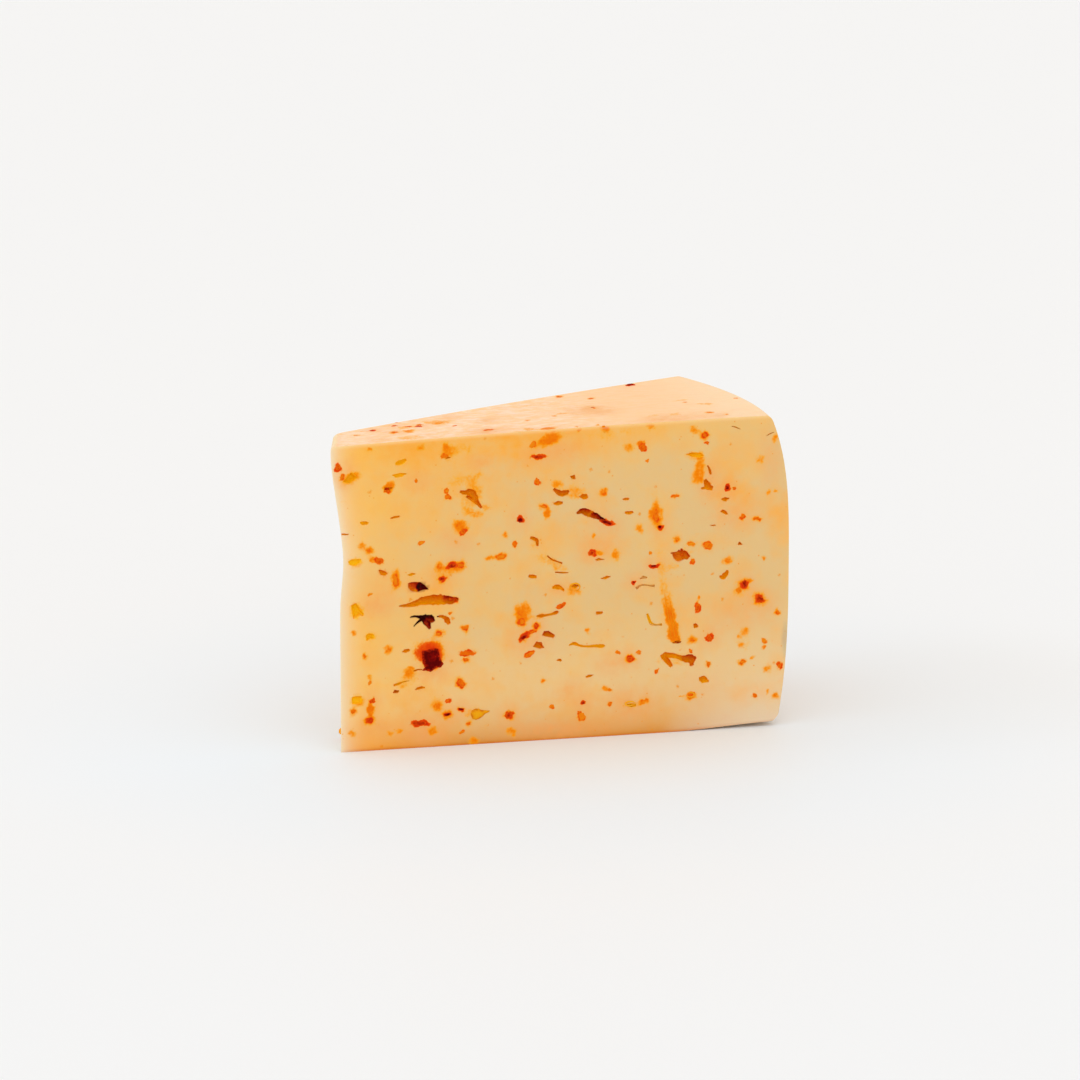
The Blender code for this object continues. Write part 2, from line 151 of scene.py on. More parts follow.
# Simple holes on the front cut: along, up, width, height, turn in degrees
frontHoles = [
    (14.5, 67.7, 2.6, 1.2, 10), (14.0, 64.7, 2.9, 0.9, 8), (2.8, 64.6, 3.4, 2.2, 20), (11.4, 61.6, 2.2, 1.2, 20),
    (13.0, 54.9, 2.2, 0.5, 10), (15.6, 23.3, 1.9, 0.9, 8), (13.1, 13.7, 1.5, 1.2, 20),
    (18.7, 14.2, 2.2, 0.7, 15), (57.6, 57.3, 1.8, 1.3, 0), (55.0, 62.2, 1.3, 1.2, -30),
    (67.7, 56.3, 1.6, 0.6, -5), (68.3, 53.1, 2.3, 0.8, -8), (84.3, 65.9, 3.6, 1.0, -4), (91.4, 55.1, 1.9, 0.9, 10),
    (91.3, 52.0, 2.1, 0.8, -30), (95.1, 44.2, 1.3, 0.9, -40), (55.6, 36.3, 1.9, 1.1, 5), (62.9, 38.0, 2.2, 0.7, 10),
    (49.3, 25.3, 2.8, 1.7, -8), (47.0, 22.8, 2.5, 1.7, -20), (61.5, 29.6, 1.6, 0.7, 0), (51.9, 18.9, 1.2, 0.7, -10),
    (58.9, 14.7, 1.9, 0.7, 20), (79.7, 21.6, 1.8, 0.6, 10), (69.2, 7.1, 2.2, 0.8, -10), (84.5, 25.2, 1.0, 1.2, 40),
    (61.4, 42.4, 2.0, 0.6, -3), (16.9, 41.3, 2.1, 0.7, 8), (45.5, 39.2, 1.7, 0.9, -5), (25.6, 68.2, 1.4, 0.5, 15), (88.5, 49.0, 1.5, 0.3, 0),
    (5.8, 53.9, 1.9, 1.0, 0),
]

# Cavities with a clear outline: place, then the corners round it
frontCavities = [
    ((18.3, 38.2), [(-2.3, 1.05), (-1.2, 1.25), (0.7, 1.15), (1.75, 0.35), (2.7, -0.7), (1.25, -0.8), (-0.2, -1.25),
                    (-1.6, -0.95), (-2.4, 0.0)]),
    ((4.2, 33.1), [(-1.6, 1.7), (-0.35, 2.2), (0.7, 0.45), (1.55, -0.6), (1.4, -1.1), (0.35, -0.95), (-1.1, -1.65),
                   (-1.4, 0.45)]),
    ((3.8, 12.2), [(-1.2, 0.75), (-0.6, 1.0), (1.25, 0.95), (1.2, -0.85), (0.3, -0.8), (-1.1, -0.95)]),
    ((3.7, 44.8), [(-1.75, 0.25), (-0.9, 0.75), (1.5, 0.7), (0.9, -0.25), (-0.2, -0.95), (-1.3, -0.7)]),
    ((7.0, 27.0), [(-0.95, 0.5), (-0.2, 0.95), (1.0, 0.6), (0.85, -0.5), (0.1, -0.3), (-0.8, -1.0)]),
    ((10.2, 42.0), [(-1.1, 0.75), (-0.5, 0.7), (0.6, 0.25), (1.1, -0.25), (0.5, -0.75), (-0.6, -0.55)]),
    ((79.2, 42.2), [(-0.5, 0.5), (0.6, 0.9), (1.3, 1.6), (1.7, 0.5), (3.5, 0.3), (2.4, -0.5), (1.9, -1.2), (0.8, -1.4),
                    (-0.1, -0.5)]),
]

# What the knife showed of the chilli: along, up, width, height, turn, tone (0 is dark crimson, 1 is orange)
frontFlakes = [
    (-0.1, 67.1, 1.8, 2.1, -50, 0.5), (0.7, 64.9, 0.8, 1.9, -12, 0.6), (42.6, 52.7, 1.7, 1.9, 30, 0.05),
    (46.9, 67.3, 3.8, 1.1, 3, 0.3), (63.1, 51.1, 3.8, 1.4, -18, 0.1), (75.8, 49.3, 1.3, 1.1, -10, 0.05),
    (91.9, 57.8, 1.3, 1.7, 0, 0.15), (93.5, 57.6, 1.2, 0.8, 0, 0.55), (96.3, 34.6, 1.7, 2.1, 10, 0.2),
    (94.9, 33.2, 1.4, 1.7, 40, 0.7), (97.5, 35.5, 1.9, 0.9, -10, 0.85), (100.0, 30.8, 2.6, 1.9, -35, 0.25),
    (59.5, 44.0, 1.9, 1.7, 0, 0.4), (74.4, 40.1, 2.4, 0.8, 0, 0.15), (26.4, 42.7, 2.6, 1.4, 10, 0.25),
    (28.5, 42.8, 2.1, 1.2, 5, 0.55), (24.0, 39.8, 1.9, 1.2, 15, 0.25), (43.4, 24.9, 3.1, 1.5, 30, 0.2),
    (45.5, 26.0, 2.1, 0.7, 20, 0.55), (15.9, 18.0, 1.7, 1.4, 0, 0.8), (17.0, 18.9, 1.2, 0.9, 0, 0.9), (18.9, 5.8, 5.0, 1.4, -3, 0.3), (21.7, 3.8, 1.9, 1.9, 0, 0.85),
    (39.8, 6.5, 2.1, 1.9, 20, 0.35), (7.6, 11.8, 1.2, 1.1, 0, 0.45), (6.9, 7.3, 1.7, 1.2, 0, 0.3),
    (6.9, 9.2, 1.2, 2.1, 0, 0.85), (25.1, 7.5, 1.9, 0.9, 12, 0.05), (28.4, 8.6, 1.7, 0.7, -12, 0.1),
    (57.5, 8.3, 1.2, 1.1, 40, 0.2), (71.6, 68.2, 1.9, 2.1, 40, 0.5), (71.1, 69.4, 1.7, 1.2, 0, 0.75),
    (9.2, 44.8, 2.1, 1.7, -20, 0.5), (7.6, 45.4, 1.4, 0.9, -20, 0.8), (23.5, 42.6, 2.1, 1.4, 20, 0.75),
    (29.8, 21.8, 4.1, 1.3, -5, 0.5), (29.8, 20.2, 1.2, 0.9, 0, 0.6), (29.4, 27.9, 2.1, 0.9, 5, 0.6),
    (23.2, 26.8, 1.7, 0.9, 0, 0.6), (28.4, 14.8, 1.4, 2.6, 30, 0.5), (43.1, 30.9, 3.1, 3.3, 0, 0.8),
    (42.9, 28.5, 1.7, 1.9, -20, 0.6), (46.2, 27.4, 1.4, 1.2, -30, 0.4), (44.8, 20.8, 3.1, 1.4, 25, 0.6),
    (52.2, 31.9, 2.9, 1.2, 32, 0.5), (57.2, 5.0, 2.1, 2.4, -10, 0.7), (56.5, 6.2, 1.0, 0.9, 0, 0.55),
    (68.8, 18.2, 1.9, 1.4, 0, 0.45), (65.8, 20.0, 1.4, 1.2, -30, 0.65), (70.9, 19.7, 1.7, 0.8, -5, 0.65),
    (87.9, 22.1, 1.9, 1.9, -40, 0.45), (83.4, 44.9, 2.4, 1.1, 5, 0.7), (87.4, 44.2, 2.6, 1.9, -18, 0.62),
    (46.5, 61.4, 1.4, 1.7, 20, 0.6), (49.3, 71.9, 3.3, 1.9, 25, 0.85), (45.5, 70.2, 1.9, 1.2, 40, 0.7),
    (24.8, 70.7, 2.1, 1.9, 10, 0.9), (24.7, 68.6, 1.9, 1.2, 15, 0.6), (28.5, 52.0, 2.9, 2.4, -20, 0.8),
    (29.0, 50.6, 1.4, 1.7, -20, 0.5), (19.2, 48.5, 2.1, 1.2, 28, 0.65), (11.7, 62.5, 2.1, 1.4, 40, 0.8),
    (11.2, 61.1, 1.4, 0.8, 0, 0.5), (25.3, 60.4, 1.2, 1.1, 0, 0.65), (25.5, 59.0, 1.7, 1.2, 0, 0.6),
    (39.1, 49.3, 1.1, 1.2, 0, 0.75), (41.2, 47.1, 1.2, 1.4, 0, 0.6), (60.0, 48.2, 1.2, 0.9, 0, 0.85),
    (48.1, 55.5, 1.7, 0.9, -15, 0.6), (48.8, 53.8, 1.2, 1.9, 0, 0.9), (62.1, 58.3, 1.2, 1.9, -20, 0.75),
    (61.2, 43.9, 1.9, 1.2, -15, 0.85), (65.3, 43.2, 1.0, 2.1, 15, 0.9), (37.9, 44.2, 2.4, 1.2, 5, 0.7),
    (35.3, 44.1, 2.1, 0.5, -8, 0.8), (79.3, 56.4, 1.9, 0.7, 0, 0.6), (74.8, 51.9, 1.4, 3.3, 0, 0.6),
    (73.6, 52.7, 1.9, 1.2, 0, 0.85), (86.4, 70.5, 1.4, 1.4, -20, 0.5), (87.1, 68.6, 1.0, 0.9, 0, 0.5),
    (83.8, 71.8, 1.7, 1.2, -35, 0.9), (99.6, 64.2, 1.9, 1.9, 40, 0.95), (103.3, 69.0, 1.2, 1.9, -15, 0.9),
    (101.7, 56.2, 1.2, 1.4, 10, 0.9), (103.5, 56.2, 1.1, 0.9, 0, 0.9), (92.1, 40.5, 1.9, 1.2, 20, 0.75),
    (95.6, 50.9, 1.2, 1.4, -20, 0.6), (99.1, 50.0, 2.1, 0.4, 0, 0.6), (101.0, 20.7, 1.2, 1.4, 0, 0.7),
    (101.0, 19.1, 1.2, 1.2, 0, 0.75), (96.6, 23.3, 1.0, 0.7, 0, 0.85), (95.0, 22.2, 0.7, 1.2, 20, 0.85),
    (95.5, 20.0, 1.0, 0.9, 0, 0.85), (95.9, 15.9, 1.4, 0.9, 15, 0.6), (98.2, 16.7, 1.4, 0.7, 20, 0.85),
    (101.8, 13.8, 1.9, 1.4, 0, 0.9), (99.0, 7.5, 1.2, 1.2, 0, 0.55), (101.9, 8.5, 0.7, 1.2, 0, 0.85),
    (103.9, 7.4, 1.1, 1.2, 0, 0.8), (104.9, 14.5, 1.0, 1.5, 0, 0.55), (104.4, 27.4, 0.7, 1.2, 0, 0.6),
    (85.0, 29.5, 1.2, 2.8, 0, 0.5), (85.2, 31.8, 0.7, 1.7, 0, 0.8), (63.9, 7.7, 1.1, 0.9, 0, 0.6),
    (63.9, 11.0, 1.2, 0.8, -10, 0.6), (62.7, 11.4, 1.2, 1.2, 0, 0.85), (50.0, 8.0, 1.4, 1.2, 0, 0.65),
    (28.6, 3.1, 1.7, 0.9, 20, 0.65), (11.8, 3.9, 1.2, 1.2, 0, 0.85), (13.7, 4.3, 1.4, 0.8, 35, 0.85),
    (22.7, 9.9, 1.7, 1.7, 20, 0.75), (25.3, 10.8, 1.2, 0.9, 40, 0.5), (11.2, 23.8, 1.2, 1.2, 0, 0.75),
    (5.8, 22.4, 0.6, 0.9, 0, 0.6), (6.9, 16.1, 1.0, 0.9, 0, 0.7), (6.9, 17.3, 1.0, 1.2, 0, 0.9),
    (2.9, 9.5, 1.2, 1.2, 40, 0.6), (2.6, 4.3, 1.0, 0.7, 0, 0.9), (6.9, 47.3, 1.7, 0.9, -15, 0.75),
    (5.5, 48.8, 1.2, 0.9, 0, 0.85), (69.6, 36.5, 1.0, 0.7, -20, 0.15), (83.4, 8.7, 2.1, 1.7, -15, 0.75),
    (81.0, 8.6, 1.9, 0.6, 5, 0.8), (71.9, 7.7, 2.9, 1.4, -5, 0.8), (13.1, 40.1, 1.3, 3.8, 3, 0.65),
    (78.8, 24.1, 2.2, 3.6, -12, 0.8), (78.3, 28.4, 1.9, 2.8, -8, 0.8), (81.6, 42.1, 1.4, 1.2, 0, 0.6),
    (83.7, 40.8, 1.2, 1.2, 0, 0.6), (73.4, 43.2, 0.7, 1.2, 0, 0.7), (79.8, 46.2, 1.4, 0.7, -40, 0.7),
    (83.6, 21.9, 1.0, 0.9, 0, 0.6), (83.4, 19.3, 1.0, 0.9, 0, 0.6), (87.7, 15.9, 1.2, 1.2, -40, 0.6),
    (75.2, 14.9, 1.1, 1.1, 0, 0.6), (58.6, 25.5, 1.0, 0.7, 0, 0.75), (47.9, 14.4, 0.8, 0.7, 0, 0.75),
    (7.3, 37.1, 1.2, 0.7, 0, 0.7), (3.3, 28.2, 0.8, 0.8, 0, 0.8), (7.5, 71.1, 1.2, 0.9, 0, 0.85),
    (19.4, 71.2, 1.0, 0.9, 0, 0.9), (72.6, 65.1, 1.0, 0.7, 0, 0.7), (62.8, 73.1, 1.0, 0.9, 0, 0.9),
    (62.3, 73.7, 1.0, 0.7, 0, 0.7), (73.5, 73.0, 1.0, 0.7, 0, 0.85), (56.6, 73.3, 1.0, 0.7, 0, 0.8),
    (68.0, 68.6, 1.2, 0.7, 0, 0.95), (71.0, 49.1, 1.0, 1.2, 0, 0.85), (100.9, 40.3, 0.7, 0.7, 0, 0.7),
    (18.0, 63.1, 1.0, 1.2, 0, 0.6), (30.3, 4.9, 1.0, 0.7, 0, 0.6), (31.4, 0.8, 1.2, 0.9, 0, 0.85),
    (40.2, 2.6, 1.2, 0.9, 0, 0.8), (26.7, 34.6, 2.1, 1.3, -12, 0.5), (25.9, 31.6, 1.2, 0.7, 0, 0.65),
]

# Oil that ran out of the chilli: along, up, width, height, turn, strength
frontStains = [
    (3.1, 64.6, 5.2, 3.3, 15, 0.9), (28.8, 62.3, 9.5, 2.8, -8, 0.5), (31.6, 63.6, 4.8, 2.4, 10, 0.6),
    (31.1, 58.9, 6.2, 7.1, -50, 0.6), (31.3, 54.9, 6.2, 2.1, -10, 0.7), (34.4, 55.9, 2.9, 1.9, -40, 0.7),
    (25.3, 69.5, 3.3, 5.2, 0, 0.7), (49.3, 71.1, 8.1, 3.3, 22, 0.9), (63.7, 71.9, 14.3, 2.4, 5, 0.35),
    (28.8, 70.0, 9.5, 2.4, 5, 0.5), (55.0, 58.6, 7.1, 3.8, -10, 0.7), (51.2, 60.7, 3.8, 1.9, 0, 0.8),
    (49.1, 54.2, 2.1, 3.8, 0, 0.8), (74.8, 52.9, 3.3, 7.1, 0, 0.8), (74.5, 57.6, 1.9, 5.2, 0, 0.3),
    (85.3, 62.3, 2.9, 8.1, -4, 0.85), (84.6, 60.4, 3.8, 2.8, 0, 0.8), (84.0, 65.7, 6.2, 2.1, -5, 0.6),
    (28.5, 51.8, 4.8, 4.3, -20, 0.6), (50.0, 42.1, 9.5, 2.8, -32, 0.6), (46.0, 46.6, 3.3, 3.3, -20, 0.4),
    (55.3, 35.4, 3.8, 3.1, 0, 0.8), (43.1, 30.9, 4.8, 5.2, 0, 0.7), (47.2, 29.7, 7.1, 1.4, 8, 0.5),
    (78.7, 39.8, 5.7, 1.9, -15, 0.5), (7.1, 9.7, 1.7, 5.7, 0, 1.0), (4.1, 11.8, 3.3, 2.8, 10, 0.8),
    (4.0, 33.3, 3.6, 3.8, -30, 0.8), (3.9, 44.6, 3.8, 2.4, 5, 0.6), (7.2, 26.8, 2.9, 2.4, 20, 0.6),
    (31.5, 7.5, 4.8, 3.1, 5, 0.6), (11.7, 62.0, 3.3, 2.6, 30, 0.7), (62.6, 58.2, 1.7, 2.6, -15, 0.6),
    (83.9, 44.6, 5.7, 2.4, -8, 0.2), (81.5, 42.8, 6.2, 3.3, 0, 0.4), (79.8, 17.3, 10.5, 4.3, 0, 0.4),
    (69.2, 7.1, 5.7, 2.1, -5, 0.5), (83.2, 8.2, 4.3, 2.1, 0, 0.5), (94.9, 33.2, 3.3, 5.2, 30, 0.35),
    (96.4, 21.1, 3.8, 5.2, 0, 0.35), (99.1, 50.2, 6.2, 0.9, 0, 0.4), (13.2, 40.6, 2.1, 4.8, 3, 0.8),
    (16.8, 17.2, 4.8, 3.3, 20, 0.5), (15.9, 15.1, 5.7, 1.2, 20, 0.4), (14.5, 15.7, 3.3, 3.3, 20, 0.4),
    (75.8, 43.1, 3.3, 2.8, 0, 0.4), (65.5, 42.9, 2.9, 3.3, 10, 0.4), (22.0, 22.4, 5.6, 6.4, 0, 0.85),
    (26.3, 42.2, 6.0, 3.2, 8, 0.7),
]

# A strip of soft pepper under the surface: along, up, half width, strength
pepperStrip = [(75.8, 40.0, 1.1, 0.5), (77.0, 35.6, 1.1, 0.55), (77.6, 31.8, 1.25, 0.8), (78.3, 28.3, 1.35, 0.95),
               (79.0, 24.8, 1.45, 1.0), (79.6, 22.2, 1.2, 1.0)]

# Pink where chilli lies deep: along, up, width, height, turn, strength
frontBlushes = [
    (8.7, 34.2, 8.1, 6.2, 0, 0.8), (11.3, 39.0, 10.5, 9.5, 0, 0.4), (18.2, 62.9, 7.1, 5.7, 0, 0.6),
    (20.1, 2.9, 11.9, 6.2, 0, 0.9), (54.3, 11.6, 7.1, 5.2, 30, 0.6), (51.9, 36.1, 5.7, 4.8, 0, 0.4),
    (87.2, 59.8, 6.2, 9.5, 0, 0.7), (93.8, 51.2, 11.9, 8.5, 0, 0.5), (64.4, 17.5, 8.1, 6.2, 0, 0.6),
    (27.1, 48.8, 9.5, 5.2, -20, 0.6), (68.7, 7.1, 14.3, 8.1, -10, 0.7), (21.5, 17.9, 8.1, 5.2, 0, 0.7),
    (93.9, 28.0, 14.3, 9.5, 0, 0.5), (51.9, 68.7, 14.3, 7.1, 0, 0.6), (33.0, 66.8, 6.2, 3.8, 0, 0.6),
    (44.8, 24.1, 11.9, 8.1, 0, 0.5), (61.4, 45.8, 11.9, 7.1, 0, 0.5), (85.6, 9.7, 11.9, 9.5, 0, 0.3),
    (9.2, 4.8, 16.7, 5.7, 0, 0.55), (52.0, 2.2, 28.6, 4.8, 0, 0.8), (1.5, 65.3, 5.7, 8.1, 0, 0.7),
    (102.1, 63.8, 5.7, 14.2, 0, 0.5), (102.4, 28.0, 5.7, 9.5, 0, 0.3),
]


# The top: along from the tip, back from the front cut, length, breadth, turn, tone or strength
topFlakes = [
    (67.1, 31.6, 1.5, 1.0, 10, 0.6), (99.9, 21.8, 1.2, 0.9, 0, 0.7), (16.9, 17.6, 1.6, 0.7, 15, 0.45),
    (15.2, 11.0, 1.1, 0.8, 0, 0.45), (19.5, 16.0, 1.4, 0.6, 20, 0.55), (22.5, 17.2, 1.8, 0.7, 15, 0.6),
    (18.6, 11.4, 1.2, 0.5, 10, 0.6), (60.5, 35.8, 1.8, 1.0, 20, 0.6),
]
topStains = [
    (86.6, 23.2, 5.0, 1.2, 12, 0.5), (43.6, 1.0, 6.0, 2.4, 0, 0.6), (18.5, 15.0, 7.0, 3.2, 15, 0.45),
    (52.0, 29.0, 7.0, 2.4, 20, 0.4), (30.0, 18.0, 9.0, 2.6, 20, 0.35),
]

# How the hole bottoms are tinted, by area: ..., 0 is crimson, 0.5 brown, 1 gold and more than 1 as pale as the paste.
# The tints are partly the chilli and oil in the holes and partly painted shade and light scattered in the hollows
pitTones = [
    (20.2, 30.2, 7.6, 5.0, 0, 0.0), (16.9, 38.6, 2.4, 3.0, 0, 0.36), (19.8, 37.9, 3.2, 3.0, 0, 0.03),
    (18.5, 34.6, 11.0, 3.6, 0, 0.56), (26.4, 34.8, 3.4, 2.6, 0, 0.3), (25.0, 30.0, 3.4, 3.4, 0, 0.58),
    (21.2, 29.2, 2.4, 2.2, 0, 0.11), (14.8, 15.6, 4.6, 1.4, 0, 0.8), (16.9, 41.3, 2.6, 1.2, 0, 0.85),
    (57.3, 53.8, 3.8, 2.6, 0, 0.32), (61.6, 52.2, 4.6, 2.6, 0, 0.2), (81.2, 42.5, 5.8, 3.6, 0, 0.42),
    (83.4, 17.0, 3.6, 3.6, 0, 0.42), (78.2, 17.4, 4.4, 4.4, 0, 0.62), (86.4, 12.2, 3.6, 2.8, 0, 0.74),
    (58.2, 22.0, 10.4, 2.2, 0, 0.84), (49.3, 25.3, 3.4, 2.6, 0, 0.45), (47.0, 22.7, 3.2, 2.6, 0, 0.52),
    (14.5, 67.7, 3.2, 2.2, 0, 0.95), (14.0, 64.7, 3.6, 2.0, 0, 0.95), (2.8, 64.6, 4.4, 3.4, 0, 0.95),
    (3.6, 44.9, 4.0, 2.6, 0, 0.98), (4.2, 33.1, 3.8, 4.0, 0, 1.0), (7.0, 27.2, 3.0, 2.8, 0, 0.95),
    (3.6, 12.2, 3.4, 2.8, 0, 0.95), (5.8, 53.9, 2.6, 1.8, 0, 0.95), (84.3, 65.9, 4.4, 2.2, 0, 0.85),
    (31.0, 58.4, 7.0, 7.0, 0, 0.55), (52.2, 58.8, 5.4, 3.2, 0, 0.52), (91.2, 37.2, 3.4, 3.4, 0, 0.66),
    (72.4, 36.2, 6.6, 4.6, 0, 1.3), (74.2, 26.8, 5.4, 4.6, 0, 1.1), (51.6, 36.2, 3.8, 2.4, 0, 0.76),
    (69.2, 7.1, 3.6, 2.2, 0, 0.95), (10.4, 41.9, 2.8, 1.8, 0, 0.55), (13.0, 13.6, 2.2, 1.8, 0, 0.5),
    (55.5, 36.1, 3.6, 2.8, 0, 0.7), (98.0, 71.0, 14.0, 5.0, 0, 1.25),
]

# Broad areas where the paste is more orange: along, up, width, height, turn, strength
frontWarmth = [
    (24.0, 70.0, 20.0, 9.0, 4, 0.7), (44.0, 70.0, 24.0, 10.0, 6, 0.9), (69.0, 70.5, 12.0, 7.0, 0, 0.6),
    (32.0, 62.0, 18.0, 11.0, -10, 0.7), (51.0, 62.0, 18.0, 12.0, 0, 0.45), (91.0, 62.0, 13.0, 12.0, 0, 0.45),
    (60.0, 54.0, 16.0, 10.0, -10, 0.6), (50.0, 48.0, 14.0, 12.0, 0, 0.4), (61.0, 45.0, 12.0, 9.0, 0, 0.5),
    (82.0, 44.0, 16.0, 9.0, 0, 0.4), (20.0, 38.0, 16.0, 12.0, 0, 0.7), (50.0, 37.0, 14.0, 8.0, 0, 0.5),
    (45.0, 28.0, 18.0, 14.0, 0, 0.5), (97.0, 33.0, 14.0, 14.0, 0, 0.4), (79.5, 27.0, 8.0, 16.0, 0, 0.45),
    (29.0, 22.0, 10.0, 8.0, 0, 0.5), (20.0, 10.0, 22.0, 16.0, 0, 0.55), (50.0, 8.0, 16.0, 10.0, 0, 0.45),
    (104.5, 50.0, 9.0, 20.0, 0, 0.9), (97.5, 8.0, 12.0, 8.0, 0, 1.0), (93.0, 55.0, 14.0, 12.0, 0, 0.9), (104.5, 18.0, 7.0, 14.0, 0, 0.6), (70.0, 7.5, 14.0, 8.0, 0, 0.6), (97.0, 52.0, 12.0, 12.0, 0, 0.45), (29.0, 51.0, 12.0, 9.0, 0, 0.5),
]


def smoothStep(value):
    value = np.clip(value, 0.0, 1.0)
    return value * value * (3.0 - 2.0 * value)


def between(a, b, share):
    return a + (b - a) * share


def roundInset(distance, radius):  # how far a rounded edge stands back from the sharp one
    reach = np.clip(radius - distance, 0.0, radius)
    return radius - np.sqrt(radius * radius - reach * reach)


def roundMiddle(radius):
    return radius * (1.0 - math.sqrt(0.5))


def wheelHeight(r):
    share = (r - wedge["axisToTip"]) / wedge["riseLength"]
    return wedge["tipHeight"] + wedge["topRise"] * share - wedge["topDome"] * share * share


def tipWander(z):
    hollow = wedge["tipHollow"] * np.exp(-((z - wedge["hollowHeight"]) / wedge["hollowSpan"]) ** 2)
    sway = wedge["tipSway"] * smoothStep((z - wedge["swayStart"]) / wedge["swayLength"])
    return wedge["tipOffset"] + hollow - sway


rindEdge = wedge["wheelRadius"] - wedge["bulgeAbove"]
rindLow = wedge["footLift"] + roundMiddle(wedge["footRound"])
rindHigh = wheelHeight(rindEdge) - roundMiddle(wedge["topRound"])


def rindRadius(z):
    top = wheelHeight(rindEdge)
    above = np.clip((z - wedge["bulgeHeight"]) / (top - wedge["bulgeHeight"]), 0.0, 1.0)
    below = np.clip((wedge["bulgeHeight"] - z) / wedge["bulgeHeight"], 0.0, 1.0)
    draw = wedge["bulgeAbove"] * above ** wedge["powerAbove"] + wedge["bulgeBelow"] * below ** wedge["powerBelow"]
    inset = roundInset(top - z, wedge["topRound"]) + roundInset(z - wedge["footLift"], wedge["footRound"])
    return wedge["wheelRadius"] - draw - inset


def tipRadius(angle, z):  # distance from the axis, along a ray, of the cut that took the point off
    cut, slant, back = wedge["cutAngle"], wedge["tipSlant"], wedge["tipBackRound"]
    start = wedge["axisToTip"] + tipWander(z)
    corner = start * math.sin(slant) / math.sin(slant - cut)
    tangent = back / math.tan((math.pi - slant + cut) / 2)
    x = corner * math.cos(cut) - tangent * math.cos(slant)
    y = corner * math.sin(cut) - tangent * math.sin(slant)
    straight = start * math.sin(slant) / np.sin(slant - angle)
    reach = corner + tangent
    middle = reach * np.cos(cut - angle) + back * np.sin(cut - angle)
    rounded = middle - np.sqrt(np.maximum(middle * middle - reach * reach, 0.0))
    r = np.where(angle <= np.arctan2(y, x), straight, rounded)
    return r + roundInset(wedge["tipHeight"] - z, wedge["tipTopRound"])


def bottomHeight(r):
    lift = wedge["footLift"] * smoothStep((r - wedge["liftStart"]) / wedge["liftLength"])
    return lift + roundInset(wedge["wheelRadius"] - wedge["bulgeBelow"] - r, wedge["footRound"])


def topHeight(r, fromTip):
    return wheelHeight(r) - roundInset(rindEdge - r, wedge["topRound"]) - roundInset(fromTip, wedge["tipTopRound"])


wedgeLeft = wedge["axisToTip"] + float(tipWander(wedge["tipHeight"] - wedge["tipTopRound"]))
wedgeBack = (wedge["wheelRadius"] + wedge["rindDrift"]) * math.sin(wedge["cutAngle"])
centre = np.array([(wedge["wheelRadius"] + wedgeLeft) / 2, wedgeBack / 2, 0.0])


def wedgePoints(along, across, up):  # shares of the way from tip to rind, front to back and up
    angle = wedge["cutAngle"] * across
    tipTop = wedge["tipHeight"] - roundMiddle(wedge["tipTopRound"])
    outer = rindRadius(between(rindLow, rindHigh, up)) + wedge["rindDrift"] * across * (2.0 - across)
    r = between(tipRadius(angle, tipTop * up), outer, along)
    lowR = between(tipRadius(angle, 0.0 * up), rindRadius(rindLow + 0.0 * up), along)
    highStart = tipRadius(angle, tipTop + 0.0 * up)
    highR = between(highStart, rindRadius(rindHigh + 0.0 * up), along)
    fromTip = highR - highStart + roundMiddle(wedge["tipTopRound"])
    z = between(bottomHeight(lowR), topHeight(highR, fromTip), up)
    return np.stack([r * np.cos(angle), r * np.sin(angle), z], axis=1) - centre


# Frames of the sides: columns run along the side, into it and up
def faceFrame(origin, along, up=(0.0, 0.0, 1.0)):
    into = np.cross(up, along)
    return {"origin": np.array(origin) - centre, "axes": np.stack([along, into, np.array(up)], axis=1)}


def cutFaces():
    cut, slant, radius = wedge["cutAngle"], wedge["tipSlant"], wedge["wheelRadius"]
    ray = np.array([math.cos(cut), math.sin(cut), 0.0])
    corner = ray * wedge["axisToTip"] * math.sin(slant) / math.sin(slant - cut)
    east, north = np.array([1.0, 0.0, 0.0]), (0.0, 1.0, 0.0)
    return {
        "front": faceFrame([wedge["axisToTip"], 0.0, 0.0], np.array([1.0, 0.0, 0.0])),
        "back": faceFrame(ray * wedge["wheelRadius"], -ray),
        "tip": faceFrame(corner, -np.array([math.cos(slant), math.sin(slant), 0.0])),
        "top": faceFrame([wedge["axisToTip"], 0.0, wedge["tipHeight"] + 1.5], east, north),
        "bottom": faceFrame([radius, 0.0, 0.0], -east, north),
        "rim": faceFrame([radius, 0.0, 0.0], np.array([-math.sin(cut / 2), math.cos(cut / 2), 0.0])),
    }


faces = cutFaces()
backLength = wedge["wheelRadius"] - float(tipRadius(wedge["cutAngle"], 0.0))


def onFace(points, face):  # along, into and up in mm
    return (points - faces[face]["origin"]) @ faces[face]["axes"]


# The draw that spread what the photograph doesn't show, in the same order as in the CAD source
def drawnPlaces(draw, count, length, height, clearance, taken):
    margin = 4.0
    places = []
    while len(places) < count:
        spot = Vector((draw.uniform(margin, length - margin), draw.uniform(margin, height - margin)))
        if all((spot - other).length > clearance for other in taken):
            places.append(spot)
            taken.append(spot)
    return places


